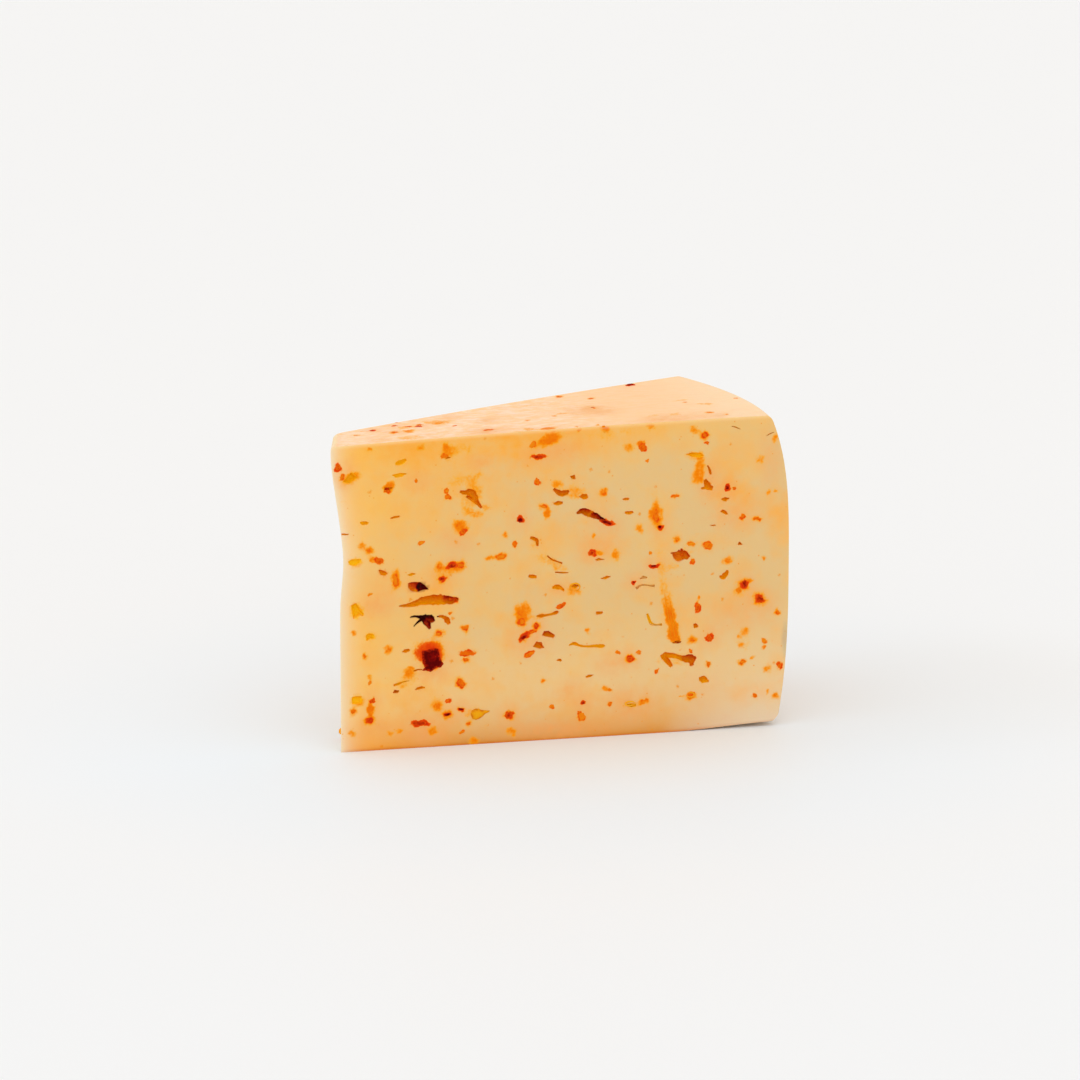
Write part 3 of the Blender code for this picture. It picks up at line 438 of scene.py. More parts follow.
def drawHidden():
    draw = random.Random(11)
    tones = random.Random(12)
    taken = []
    backHoles, tipHoles, backFlakes = [], [], []
    for spot in drawnPlaces(draw, 24, backLength, 70.0, 8.5, taken):
        width = draw.uniform(2.2, 5.4)
        height = max(0.8, width * draw.uniform(0.25, 0.55))
        turn = draw.uniform(-35, 35)
        backHoles.append((spot.x, spot.y, width, height, turn, draw.uniform(-0.3, 0.5)))
    for spot in drawnPlaces(draw, 4, 14.6, 66.0, 9.0, []):
        tipHoles.append((spot.x, spot.y, 2.6, 1.3, draw.uniform(-30, 30), 0.0))
    for spot in drawnPlaces(draw, 12, backLength, 68.0, 6.5, taken):
        width = draw.uniform(2.2, 4.4)
        height = width * draw.uniform(0.4, 0.8)
        backFlakes.append((spot.x, spot.y, width, height, draw.uniform(-60, 60), tones.uniform(0.05, 0.6)))
    return backHoles, tipHoles, backFlakes


def drawMore(seed, length, height, counts, margin=1.2):  # small flakes, holes, stains and blushes of a hidden face
    draw = random.Random(seed)

    def rows(count, widths, share, values):
        made = []
        for number in range(count):
            width = draw.uniform(*widths)
            made.append((draw.uniform(margin, length - margin), draw.uniform(margin, height - margin), width,
                         width * draw.uniform(*share), draw.uniform(-60, 60), draw.uniform(*values)))
        return made

    return {
        "flakes": rows(counts["flakes"], (0.8, 2.2), (0.5, 1.0), (0.2, 0.95)),
        "holes": rows(counts["holes"], (1.2, 2.6), (0.3, 0.6), (0.0, 0.0)),
        "stains": rows(counts["stains"], (3.0, 8.0), (0.4, 0.9), (0.4, 0.9)),
        "blushes": rows(counts["blushes"], (6.0, 14.0), (0.5, 0.9), (0.3, 0.8)),
    }


backHoles, tipHoles, backFlakes = drawHidden()
backMore = drawMore(21, backLength, 71.0, {"flakes": 120, "holes": 26, "stains": 34, "blushes": 22})
tipMore = drawMore(22, 14.6, 70.0, {"flakes": 22, "holes": 4, "stains": 6, "blushes": 4})
rimMore = drawMore(23, 52.0, 68.0, {"flakes": 34, "holes": 0, "stains": 14, "blushes": 10}, 3.0)
bottomMore = drawMore(24, 84.0, 26.0, {"flakes": 40, "holes": 0, "stains": 14, "blushes": 12}, 3.0)
topMore = drawMore(25, 96.0, 26.0, {"flakes": 16, "holes": 0, "stains": 8, "blushes": 8}, 2.0)
marks = {
    "front": {"flakes": frontFlakes, "stains": frontStains, "blushes": frontBlushes, "holes": frontHoles,
              "halos": [(21.7, 21.4, 4.5, 5.6, 0, 0.0), (20.8, 22.4, 6.2, 6.0, 0, 0.5)]},
    "back": {"flakes": backFlakes + backMore["flakes"], "stains": backMore["stains"],
             "blushes": backMore["blushes"], "holes": backHoles + backMore["holes"]},
    "tip": {"flakes": tipMore["flakes"], "stains": tipMore["stains"], "blushes": tipMore["blushes"],
            "holes": tipHoles + tipMore["holes"]},
    "rim": rimMore,
    "bottom": bottomMore,
    "top": {"flakes": topFlakes + topMore["flakes"], "stains": topStains + topMore["stains"],
            "blushes": topMore["blushes"], "holes": []},
}


def reachOf(spots, row, grow=0.0):  # how many half sizes a spot is from a mark's middle
    turn = math.radians(row[4])
    x, z = spots[:, 0] - row[0], spots[:, 1] - row[1]
    u = x * math.cos(turn) + z * math.sin(turn)
    v = z * math.cos(turn) - x * math.sin(turn)
    return np.hypot(u / (row[2] / 2 + grow), v / (row[3] / 2 + grow))


def runReach(spots, run):  # the same for a run of stations, and the strength there
    best = np.full(len(spots), 9.0)
    strength = np.zeros(len(spots))
    for a, b in zip(run[:-1], run[1:]):
        a, b = np.array(a), np.array(b)
        leg = b[:2] - a[:2]
        share = np.clip(((spots - a[:2]) @ leg) / (leg @ leg), 0.0, 1.0)
        here = a + share[:, None] * (b - a)
        reach = np.hypot(*(spots - here[:, :2]).T) / here[:, 2]
        closer = reach < best
        best = np.where(closer, reach, best)
        strength = np.where(closer, here[:, 3] if run is pepperStrip else 1.0, strength)
    return best, strength


def latticeMesh():
    def shares(steps):
        inner = list(np.linspace(0.0, 1.0, steps + 1))
        near = list(body["edgeShares"])
        return np.array(sorted(inner + near + [1.0 - share for share in near]))

    along, up = shares(body["stepsAlong"]), shares(body["stepsUp"])
    across = np.array(sorted(list(np.linspace(0.0, 1.0, body["stepsAcross"] + 1)) + [0.995, 0.988]))
    counts = (len(along), len(across), len(up))
    grid = np.indices(counts)
    shell = np.zeros(counts, bool)
    for axis in range(3):
        shell |= (grid[axis] == 0) | (grid[axis] == counts[axis] - 1)
    index = np.full(counts, -1)
    index[shell] = np.arange(shell.sum())
    i, j, k = (grid[axis][shell] for axis in range(3))
    points = wedgePoints(along[i], across[j], up[k])
    quads = []
    for sheet in (index[0], index[-1], index[:, 0], index[:, -1], index[:, :, 0], index[:, :, -1]):
        corners = np.stack([sheet[:-1, :-1], sheet[1:, :-1], sheet[1:, 1:], sheet[:-1, 1:]], axis=-1)
        quads.append(corners.reshape(-1, 4))
    mesh = bpy.data.meshes.new("cheeseBody")
    mesh.from_pydata((points * mm).tolist(), [], np.concatenate(quads).tolist())
    faceOutwards(mesh)
    return mesh


def faceOutwards(mesh):
    surface = bmesh.new()
    surface.from_mesh(mesh)
    bmesh.ops.recalc_face_normals(surface, faces=surface.faces[:])
    if surface.calc_volume(signed=True) < 0.0:
        bmesh.ops.reverse_faces(surface, faces=surface.faces[:])
    surface.to_mesh(mesh)
    surface.free()


def newObject(name, mesh):
    item = bpy.data.objects.new(name, mesh)
    bpy.context.scene.collection.objects.link(item)
    return item


def applied(item):  # the object's mesh with its modifiers applied
    depsgraph = bpy.context.evaluated_depsgraph_get()
    mesh = bpy.data.meshes.new_from_object(item.evaluated_get(depsgraph))
    item.modifiers.clear()
    item.data = mesh
    return mesh


def coordinates(mesh):
    values = np.empty(len(mesh.vertices) * 3)
    mesh.vertices.foreach_get("co", values)
    return values.reshape(-1, 3) / mm


def depths(points):  # how deep a point is below each side of the plain wedge, mm
    x, y, z = points[:, 0] + centre[0], points[:, 1] + centre[1], points[:, 2]
    r, angle = np.hypot(x, y), np.arctan2(y, x)
    share = np.clip(angle / wedge["cutAngle"], 0.0, 1.0)
    outer = rindRadius(z) + wedge["rindDrift"] * share * (2.0 - share)
    inner = tipRadius(np.clip(angle, 0.0, wedge["cutAngle"]), z)
    plainR = r - wedge["rindDrift"] * share * (2.0 - share)
    return {
        "front": onFace(points, "front")[:, 1],
        "back": onFace(points, "back")[:, 1],
        "tip": (r - inner) * 0.97,
        "rim": outer - r,
        "top": wheelHeight(plainR) - z,
        "bottom": z - wedge["footLift"] * smoothStep((plainR - wedge["liftStart"]) / wedge["liftLength"]),
    }


def nearMarks(spots, name, reach):  # which spots of a side are within reach of a hole or flake
    near = np.zeros(len(spots), bool)
    if name == "front":
        for run in frontCracks.values():
            near |= runReach(spots, [(a, b, c + reach) for a, b, c in run])[0] < 1.0
    for row in marks[name]["flakes"] + marks[name]["holes"]:
        near |= reachOf(spots, row, reach) < 1.0
    return near


def refine(mesh, reach, names, onTop):  # a finer mesh round the marks of the cuts, and on the top
    surface = bmesh.new()
    surface.from_mesh(mesh)
    bmesh.ops.recalc_face_normals(surface, faces=surface.faces[:])
    middles = np.array([face.calc_center_median() for face in surface.faces]) / mm
    normals = np.array([face.normal for face in surface.faces])
    wanted = (normals[:, 2] > 0.8) & onTop
    for name in names:
        looking = normals @ faces[name]["axes"][:, 1] < -0.95
        near = nearMarks(onFace(middles[looking], name)[:, [0, 2]], name, reach)
        wanted[np.flatnonzero(looking)[near]] = True
    surface.faces.ensure_lookup_table()
    edges = {edge for number in np.flatnonzero(wanted) for edge in surface.faces[number].edges}
    bmesh.ops.subdivide_edges(surface, edges=list(edges), cuts=1, use_grid_fill=True)
    surface.to_mesh(mesh)
    surface.free()


def octaves(point, scale):
    return noise.noise(point / scale) + 0.5 * noise.noise(point * (2.1 / scale) + Vector((7.1, 3.3, 1.7)))


def roughShare(along):  # the top is rough from the tip to two thirds of its length
    return smoothStep((72.0 - along) / 22.0)


def pressRind(mesh):  # low relief of the top and the rim
    points = coordinates(mesh)
    below = depths(points)
    cutEdge = np.minimum(np.minimum(below["front"], below["back"]), below["tip"])
    fade = smoothStep((cutEdge - 0.25) / 0.8)
    along = onFace(points, "front")[:, 0]
    onTop = (below["top"] < 0.02) & (below["rim"] > 0.6) & (fade > 0)
    rough = roughShare(along)
    for number in np.flatnonzero(onTop):
        point = Vector(points[number])
        streak = octaves(Vector((point.x / 1.7, point.y, 0.0)), 0.9)
        lumps = octaves(point, 2.4)
        deep = body["smoothRelief"] * (lumps - 1.0) + body["rindRelief"] * rough[number] * (streak + lumps - 1.6)
        points[number, 2] += min(deep, 0.0) * fade[number]
    onRim = (below["rim"] < 0.02) & (below["top"] > 0.8) & (below["bottom"] > 0.8) & (fade > 0)
    for number in np.flatnonzero(onRim):
        point = Vector(points[number])
        deep = 0.09 * (octaves(point, 4.0) - 1.2) * fade[number] - 0.16
        outward = points[number, :2] + centre[:2]
        points[number, :2] += outward / np.hypot(*outward) * min(deep, 0.0)
    mesh.vertices.foreach_set("co", (points * mm).ravel())


def tornOutline(draw, corners):  # straight torn sides between a few corners
    spots = []
    for corner in range(corners):
        turn = 2 * math.pi * (corner + draw.uniform(-0.32, 0.32)) / corners
        reach = 0.5 * draw.uniform(0.62, 1.0) / max(abs(math.cos(turn)), abs(math.sin(turn))) ** 0.5
        spots.append(Vector((math.cos(turn) * reach, math.sin(turn) * reach)))
    return splitSides(spots, draw, 0.07)


def splitSides(spots, draw, uneven):
    outline = []
    for near, far in zip(spots, spots[1:] + spots[:1]):
        for share in (0.0, 0.33, 0.67):
            outline.append((near * (1.0 - share) + far * share) * draw.uniform(1.0 - uneven, 1.0 + uneven))
    return outline


# A torn hole is cut by a tube that follows the run, or by a plug with a blocky outline
cutter = {
    "ring": 14,
    "stepsPerLeg": 5,
    "outside": 1.2,              # mm that it sticks out of the face
    "leastDepth": 0.3,
    "depthShare": 0.95,          # of its half width
    "flatness": 0.8,
    "ragged": 0.34,
    "raggedScale": 0.8,
    "plugDepth": 0.5,            # of its smaller size
    "cavityDepth": 0.24,         # of its height
    "plugLevels": ((0.5, 0.88), (0.85, 0.66), (1.0, 0.35)),
}


def smoothRun(run):  # a Catmull-Rom curve through the stations
    padded = [run[0]] + list(run) + [run[-1]]
    stations = []
    for number in range(1, len(padded) - 2):
        a, b, c, d = (np.array(padded[number + shift][:3]) for shift in (-1, 0, 1, 2))
        for step in range(cutter["stepsPerLeg"]):
            t = step / cutter["stepsPerLeg"]
            stations.append(0.5 * (2 * b + (c - a) * t + (2 * a - 5 * b + 4 * c - d) * t * t
                                   + (3 * b - a - 3 * c + d) * t ** 3))
    stations.append(np.array(run[-1][:3]))
    return stations


def cutterTube(surface, run, face, seed):
    stations = smoothRun(run)
    spread = Vector((seed * 3.7, seed * 1.3, seed * 5.1))
    rings = []
    count = cutter["ring"]
    for number, (along, up, half) in enumerate(stations):
        ahead = stations[min(number + 1, len(stations) - 1)]
        behind = stations[max(number - 1, 0)]
        leg = Vector((ahead[0] - behind[0], ahead[1] - behind[1])).normalized()
        side = Vector((-leg.y, leg.x))
        half = max(half, 0.07)
        deep = cutter["leastDepth"] + cutter["depthShare"] * half
        ring = []
        for corner in range(count):
            turn = 2 * math.pi * (corner + 0.5) / count
            out = math.copysign(abs(math.cos(turn)) ** cutter["flatness"], math.cos(turn))
            into = math.sin(turn)
            spot = Vector((along, up, into * 0.8))
            torn = 1.0 + cutter["ragged"] * octaves(spot + side.to_3d() * out * half + spread, cutter["raggedScale"])
            reach = out * half * torn
            depth = into * (deep * (0.8 + 0.4 * torn) if into > 0 else cutter["outside"])
            place = np.array([along + side.x * reach, depth, up + side.y * reach])
            world = faces[face]["origin"] + faces[face]["axes"] @ place
            ring.append(surface.verts.new(Vector(world) * mm))
        rings.append(ring)
    for near, far in zip(rings[:-1], rings[1:]):
        for corner in range(count):
            following = (corner + 1) % count
            surface.faces.new((near[corner], near[following], far[following], far[corner]))
    surface.faces.new(rings[0][::-1])
    surface.faces.new(rings[-1])


def cutterPlug(surface, outline, place, deep, face):
    rings = []
    for depth, share in ((-cutter["outside"], 1.0), (0.0, 1.0)) + tuple(
            (depth * deep, share) for depth, share in cutter["plugLevels"]):
        ring = []
        for spot in outline:
            world = faces[face]["axes"] @ np.array([place[0] + spot.x * share, depth, place[1] + spot.y * share])
            ring.append(surface.verts.new(Vector(world + faces[face]["origin"]) * mm))
        rings.append(ring)
    for near, far in zip(rings[:-1], rings[1:]):
        for corner in range(len(outline)):
            following = (corner + 1) % len(outline)
            surface.faces.new((near[corner], near[following], far[following], far[corner]))
    surface.faces.new(rings[0][::-1])
    surface.faces.new(rings[-1])


def plugFromRow(surface, row, face, seed):
    along, up, width, height, turn = row[:5]
    droop = row[5] if len(row) > 5 else 0.0
    draw = random.Random(seed)
    turned = Matrix.Rotation(math.radians(turn), 2)
    outline = []
    for spot in tornOutline(draw, draw.choice((4, 5, 6, 7))):
        outline.append(turned @ Vector((spot.x * width * 1.32, spot.y * height * 1.32 - droop * (2 * spot.x) ** 2)))
    deep = cutter["leastDepth"] + cutter["plugDepth"] * min(width, height)
    cutterPlug(surface, outline, (along, up), deep, face)


def plugFromOutline(surface, place, corners, seed):
    outline = splitSides([Vector(spot) for spot in corners], random.Random(seed), 0.03)
    low = min(spot.y for spot in outline)
    high = max(spot.y for spot in outline)
    cutterPlug(surface, outline, place, cutter["leastDepth"] + cutter["cavityDepth"] * (high - low), "front")


def cutterObject(build, *details):
    surface = bmesh.new()
    build(surface, *details)
    bmesh.ops.triangulate(surface, faces=surface.faces[:])
    mesh = bpy.data.meshes.new("cutter")
    surface.to_mesh(mesh)
    surface.free()
    faceOutwards(mesh)
    return newObject("cutter", mesh)


def cutHoles(item):
    cutters = [cutterObject(cutterTube, run, "front", seed) for seed, run in enumerate(frontCracks.values())]
    cutters += [cutterObject(plugFromOutline, place, corners, 7) for place, corners in frontCavities]
    for name, rows in marks.items():
        cutters += [cutterObject(plugFromRow, row, name, 40 + number) for number, row in enumerate(rows["holes"])]
    collection = bpy.data.collections.new("cutters")
    bpy.context.scene.collection.children.link(collection)
    for thing in cutters:
        bpy.context.scene.collection.objects.unlink(thing)
        collection.objects.link(thing)
    modifier = item.modifiers.new("holes", "BOOLEAN")
    modifier.operation = "DIFFERENCE"
    modifier.operand_type = "COLLECTION"
    modifier.collection = collection
    modifier.solver = "MANIFOLD"
    applied(item)
    for thing in cutters:
        bpy.data.objects.remove(thing, do_unlink=True)
    bpy.data.collections.remove(collection)
    print("holes cut:", len(cutters))


def triangles(mesh):
    return sum(len(face.vertices) - 2 for face in mesh.polygons)


def finishSurface(mesh, angle=38.0):
    surface = bmesh.new()
    surface.from_mesh(mesh)
    bmesh.ops.remove_doubles(surface, verts=surface.verts[:], dist=body["weld"] * mm)
    bmesh.ops.dissolve_degenerate(surface, dist=body["weld"] * mm, edges=surface.edges[:])
    bmesh.ops.triangulate(surface, faces=[face for face in surface.faces if len(face.verts) > 4])
    twins = {}
    for face in surface.faces:
        twins.setdefault(frozenset(face.verts), []).append(face)
    folded = [face for pair in twins.values() if len(pair) > 1 for face in pair]
    bmesh.ops.delete(surface, geom=folded, context="FACES")
    bmesh.ops.recalc_face_normals(surface, faces=surface.faces[:])
    openEdges = sum(1 for edge in surface.edges if len(edge.link_faces) != 2)
    surface.to_mesh(mesh)
    surface.free()
    mesh.shade_smooth()
    mesh.set_sharp_from_angle(angle=math.radians(angle))
    print(mesh.name, "triangles", triangles(mesh), "open edges", openEdges)


def store(mesh, name, values):
    attribute = mesh.attributes.new(name, "FLOAT", "POINT")
    attribute.data.foreach_set("value", np.asarray(values, np.float32))


# How the colours lie on the body
paint = {
    "flakeHalo": (0.1, 0.95),    # mm of orange round a flake, least and most
    "coarseTear": (0.55, 1.3),   # mm of push, mm of grain: torn sides of painted marks
    "fineTear": (0.24, 0.5),
    "tipGlowReach": 19.0,           # mm over which the paste is yellower at the tip: painted glow of light through the thin tip
    "topWarmth": 6.5,
    "footWarmth": 4.0,
    "pitTone": 0.62,
    "rimShare": 0.45,
    "pitLight": 0.2,             # painted light and shade: walls that face up are this much paler, and walls that face down this much darker
    "mouldPlace": (106.2, 20.8),
    "mouldSize": (1.0, 5.0),
}


def unite(a, b):
    return 1.0 - (1.0 - a) * (1.0 - b)


def flakePeak(tone):  # how strongly a flake colours the paste
    return 1.3 - 1.1 * max(tone - 0.4, 0.0) / 0.6


def torn(points):  # the points pushed about a little
    pushed = np.array(points)
    for number, point in enumerate(points):
        here = Vector(point)
        for push, grain in (paint["coarseTear"], paint["fineTear"]):
            pushed[number] += np.array(noise.noise_vector(here / grain)) * push
    return pushed


def haloOf(row):
    least, most = paint["flakeHalo"]
    return between(least, most, random.Random(int(row[0] * 613 + row[1] * 7919)).random() ** 1.8)


def paintMarks(mesh, points, below):
    names = ("oil", "core", "blush")
    values = {name: np.zeros(len(points)) for name in names}
    for side, rows in marks.items():
        near = below[side] < 3.2
        for other in marks:
            if other != side:
                near &= below[other] > 0.1
        chosen = np.flatnonzero(near)
        spots = onFace(torn(points[chosen]), side)[:, [0, 2]]
        oil, core, blush = np.zeros(len(spots)), np.zeros(len(spots)), np.zeros(len(spots))
        for row in rows["stains"]:
            oil = unite(oil, 0.95 * row[5] * smoothStep((1.3 - reachOf(spots, row)) / 0.9))
        for row in rows["blushes"]:
            blush = unite(blush, 0.9 * row[5] * smoothStep((1.6 - reachOf(spots, row)) / 1.6))
        for row in rows["flakes"] + rows.get("halos", []):
            tone = row[5]
            halo = smoothStep((1.4 - reachOf(spots, row, haloOf(row))) / 1.1)
            oil = unite(oil, (1.0 - 0.25 * tone) * halo)
            core = np.maximum(core, flakePeak(tone) * smoothStep((1.4 - reachOf(spots, row, 0.12)) / 0.85))
            if tone < 0.5:
                blush = unite(blush, 0.45 * smoothStep((1.7 - reachOf(spots, row, 1.8)) / 1.5))
        if side == "front":
            reach, strength = runReach(spots, pepperStrip)
            oil = unite(oil, 0.9 * strength * smoothStep((1.35 - reach) / 0.8))
        for name, here in zip(names, (oil, core, blush)):
            values[name][chosen] = np.maximum(values[name][chosen], here)
    for name in names:
        store(mesh, name, values[name])


def paintBody(mesh):
    points = coordinates(mesh)
    below = depths(points)
    paintMarks(mesh, points, below)
    rindDepth = np.minimum(np.minimum(below["top"], below["rim"]), below["bottom"])
    cutDepth = np.minimum(np.minimum(below["front"], below["back"]), below["tip"])
    place = onFace(points, "front")
    along, up, spots = place[:, 0], place[:, 2], place[:, [0, 2]]
    # painted glow: the paste yellower near the thin tip, where light comes through it
    nearTip = np.exp(-np.clip(below["tip"], 0, None) / paint["tipGlowReach"])
    nearTop = np.exp(-np.clip(below["top"], 0, None) / paint["topWarmth"])
    reach = paint["footWarmth"] * (1.0 + 0.9 * smoothStep((along - 60.0) / 40.0))
    nearFoot = np.exp(-np.clip(below["bottom"], 0, None) / reach)
    amber = 1.1 * nearTop * smoothStep((86.0 - along) / 50.0) * smoothStep((along + 4.0) / 24.0)
    fade = smoothStep((7.0 - below["front"]) / 6.0)
    for row in frontWarmth:
        amber = unite(amber, 0.6 * row[5] * smoothStep(1.3 - reachOf(spots, row)) * fade)
    store(mesh, "amber", np.clip(amber, 0.0, 1.0))
    # painted glow near the thin tip, with the warmer paste near the top edge
    store(mesh, "warmth", np.clip(0.85 * nearTip + 0.5 * nearTop, 0.0, 1.0))
    store(mesh, "foot", nearFoot * (1.0 - 0.26 * smoothStep((along - 60.0) / 40.0)))
    # painted glow: a pale band along the tip's edge, where light comes through the corner
    store(mesh, "glow", np.exp(-np.clip(below["tip"], 0, None) / 2.3))
    # painted contact shade: a dark orange line along the foot of the cut faces, fading where the foot lifts off the
    # table
    store(mesh, "sole", np.exp(-(below["bottom"] / 0.42) ** 2) * (1.0 - 0.75 * smoothStep((along - 74.0) / 20.0)))
    # a pale band along the top of the cut faces: partly the crumbled edge, partly painted highlight where the rounded
    # edge catches the light from above
    store(mesh, "lip", np.exp(-(below["top"] / 0.55) ** 2) * (cutDepth < 0.4))
    tint = np.full(len(points), paint["pitTone"])
    for row in pitTones:
        near = smoothStep((1.3 - reachOf(spots, row)) / 0.35) * (below["front"] < 6.0)
        tint = between(tint, row[5], near)
    # how far into a hole: there the hole colours lie, partly painted shade and light scattered in the hollows
    pit = smoothStep((np.minimum(rindDepth - 0.3, cutDepth) - 0.04) / 0.24)
    facing = np.empty(len(points) * 3)
    mesh.vertices.foreach_get("normal", facing)
    facing = facing.reshape(-1, 3)
    # painted light and shade in the holes: walls that face up paler, walls that face down darker
    tint = tint + paint["pitLight"] * facing[:, 2] * pit * (tint > 0.1)
    for name in ("front", "back", "tip"):  # the rims of the holes, where the surface turns in
        flush = below[name] < 0.08
        for other in below:
            flush &= (below[other] > 0.6) | (other == name)
        lean = 1.0 + facing @ faces[name]["axes"][:, 1]
        pit = np.where(flush, np.maximum(pit, paint["rimShare"] * smoothStep((lean - 0.03) / 0.2)), pit)
    store(mesh, "pit", pit * (1.0 - 0.85 * smoothStep((tint - 1.0) / 0.3)))
    store(mesh, "tint", np.clip(tint, 0.0, 1.0))
    store(mesh, "rind", smoothStep((1.1 - rindDepth) / 0.5) * smoothStep((cutDepth - 0.05) / 0.3))
    store(mesh, "rough", roughShare(along) * (below["top"] < 1.2))
    store(mesh, "shoulder", smoothStep((along - 76.0) / 28.0))
    size = paint["mouldSize"]
    x, z = (along - paint["mouldPlace"][0]) / size[0], (up - paint["mouldPlace"][1]) / size[1]
    store(mesh, "mould", np.exp(-(x * x + z * z + (below["front"] / 2.5) ** 2)))


def linear(red, green, blue):  # a screen colour as the shader wants it
    def one(value):
        value /= 255.0
        return value / 12.92 if value <= 0.04045 else ((value + 0.055) / 1.055) ** 2.4
    return (one(red), one(green), one(blue), 1.0)


# A socket that does its sums with nodes
class Wire:
    def __init__(self, maker, socket):
        self.maker = maker
        self.socket = socket

    def math(self, operation, *others):
        return self.maker.node("ShaderNodeMath", {"operation": operation}, (self,) + others)

    def __add__(self, other):
        return self.math("ADD", other)

    def __mul__(self, other):
        return self.math("MULTIPLY", other)

    def __sub__(self, other):
        return self.math("SUBTRACT", other)

    def __rsub__(self, other):
        return self.maker.node("ShaderNodeMath", {"operation": "SUBTRACT"}, (other, self))

    def __truediv__(self, other):
        return self.math("DIVIDE", other)

    def __pow__(self, other):
        return self.math("POWER", other)

    __radd__ = __add__
    __rmul__ = __mul__

    def atLeast(self, other):
        return self.math("MAXIMUM", other)

    def atMost(self, other):
        return self.math("MINIMUM", other)

    def within(self, low, high):  # 0 below low, 1 above high, smooth between
        settings = {"interpolation_type": "SMOOTHSTEP"}
        return self.maker.node("ShaderNodeMapRange", settings, {"Value": self, "From Min": low, "From Max": high})


class Finish:
    def __init__(self, name):
        self.material = bpy.data.materials.new(name)
        self.material.use_nodes = True
        self.tree = self.material.node_tree
        self.shader = self.tree.nodes["Principled BSDF"]

    def node(self, kind, settings=None, inputs=(), output=0):
        made = self.tree.nodes.new(kind)
        for name, value in (settings or {}).items():
            if name == "stops":
                ramp = made.color_ramp
                for number, (place, colour) in enumerate(value):
                    stop = ramp.elements[number] if number < 2 else ramp.elements.new(place)
                    stop.position = place
                    stop.color = colour
            else:
                setattr(made, name, value)
        pairs = inputs.items() if isinstance(inputs, dict) else enumerate(inputs)
        for name, value in pairs:
            self.feed(made.inputs[name], value)
        return Wire(self, made.outputs[output])

    def feed(self, socket, value):
        if isinstance(value, Wire):
            self.tree.links.new(value.socket, socket)
        else:
            socket.default_value = value

    def attribute(self, name):
        return self.node("ShaderNodeAttribute", {"attribute_name": name}, (), "Fac")

    def place(self, scale=(1.0, 1.0, 1.0), shift=(0.0, 0.0, 0.0)):
        spot = self.node("ShaderNodeTexCoord", {}, (), "Object")
        return self.node("ShaderNodeMapping", {}, {"Vector": spot, "Scale": scale, "Location": shift})

    def grain(self, size, detail=2.0, scale=(1.0, 1.0, 1.0), shift=(0.0, 0.0, 0.0)):  # size in mm
        inputs = {"Vector": self.place(scale, shift), "Scale": 1.0 / (size * mm), "Detail": detail}
        return self.node("ShaderNodeTexNoise", {}, inputs, "Fac")

    def mixed(self, a, b, share):
        made = self.tree.nodes.new("ShaderNodeMix")
        made.data_type = "RGBA"
        self.feed(made.inputs[0], share)
        self.feed(made.inputs[6], a)
        self.feed(made.inputs[7], b)
        return Wire(self, made.outputs[2])

    def ramp(self, share, stops):
        return self.node("ShaderNodeValToRGB", {"stops": stops}, (share,), "Color")

    def bump(self, height, strength, distance, normal=None):
        inputs = {"Height": height, "Strength": strength, "Distance": distance * mm}
        if normal:
            inputs["Normal"] = normal
        return self.node("ShaderNodeBump", {}, inputs, "Normal")

    def constant(self, **values):
        for name, value in values.items():
            self.shader.inputs[name.replace("_", " ")].default_value = value


# Screen tones of the cheese, before the light, though some stand in for light: the yellow and the pale glow paste hold
# painted glow near the thin tip, the dark orange foot line painted contact shade, and the pale top-edge tone partly a
# painted highlight
cheeseTones = {
    "paste": linear(238, 200, 140),
    "pasteHigh": linear(230, 192, 131),
    # painted glow near the thin tip, and warmer paste near the top edge
    "glowAndWarmPaste": linear(255, 191, 82),
    "amberPaste": linear(252, 172, 62),
    "footPaste": linear(218, 140, 48),
    "footNear": linear(248, 160, 46),
    "footFar": linear(232, 213, 190),
    # painted contact shade along the foot
    "sole": linear(214, 112, 30),
    "glowPaste": linear(244, 226, 194),
    "blush": linear(244, 168, 96),
    # pale crumbled top edge, partly painted highlight
    "lip": linear(253, 216, 160),
    "rind": linear(255, 205, 154),
    "rindPale": linear(255, 232, 212),
    "rindRed": linear(254, 178, 118),
    "rindShoulder": linear(253, 216, 172),
    "mould": linear(128, 152, 150),
    "speck": linear(240, 146, 14),
}


def rindColour(finish, tones):
    streaks = finish.grain(1.1, 4.0, (0.35, 1.0, 1.0), (0.013, 0.0, 0.0))
    mottles = finish.grain(3.4, 4.0, (0.5, 1.0, 1.0), (0.04, 0.01, 0.0))
    dashes = finish.grain(1.0, 3.0, (0.3, 1.0, 1.0), (0.07, 0.02, 0.0))
    rough = finish.attribute("rough")
    colour = finish.mixed(tones["rind"], tones["rindShoulder"], finish.attribute("shoulder"))
    colour = finish.mixed(colour, tones["rindRed"], mottles.within(0.5, 0.75) * (0.12 + rough * 0.12))
    colour = finish.mixed(colour, tones["rindPale"], streaks.within(0.4, 0.66) * (0.1 + rough * 0.42))
    colour = finish.mixed(colour, tones["rindRed"], dashes.within(0.62, 0.78) * (0.08 + rough * 0.2))
    return colour, streaks, rough


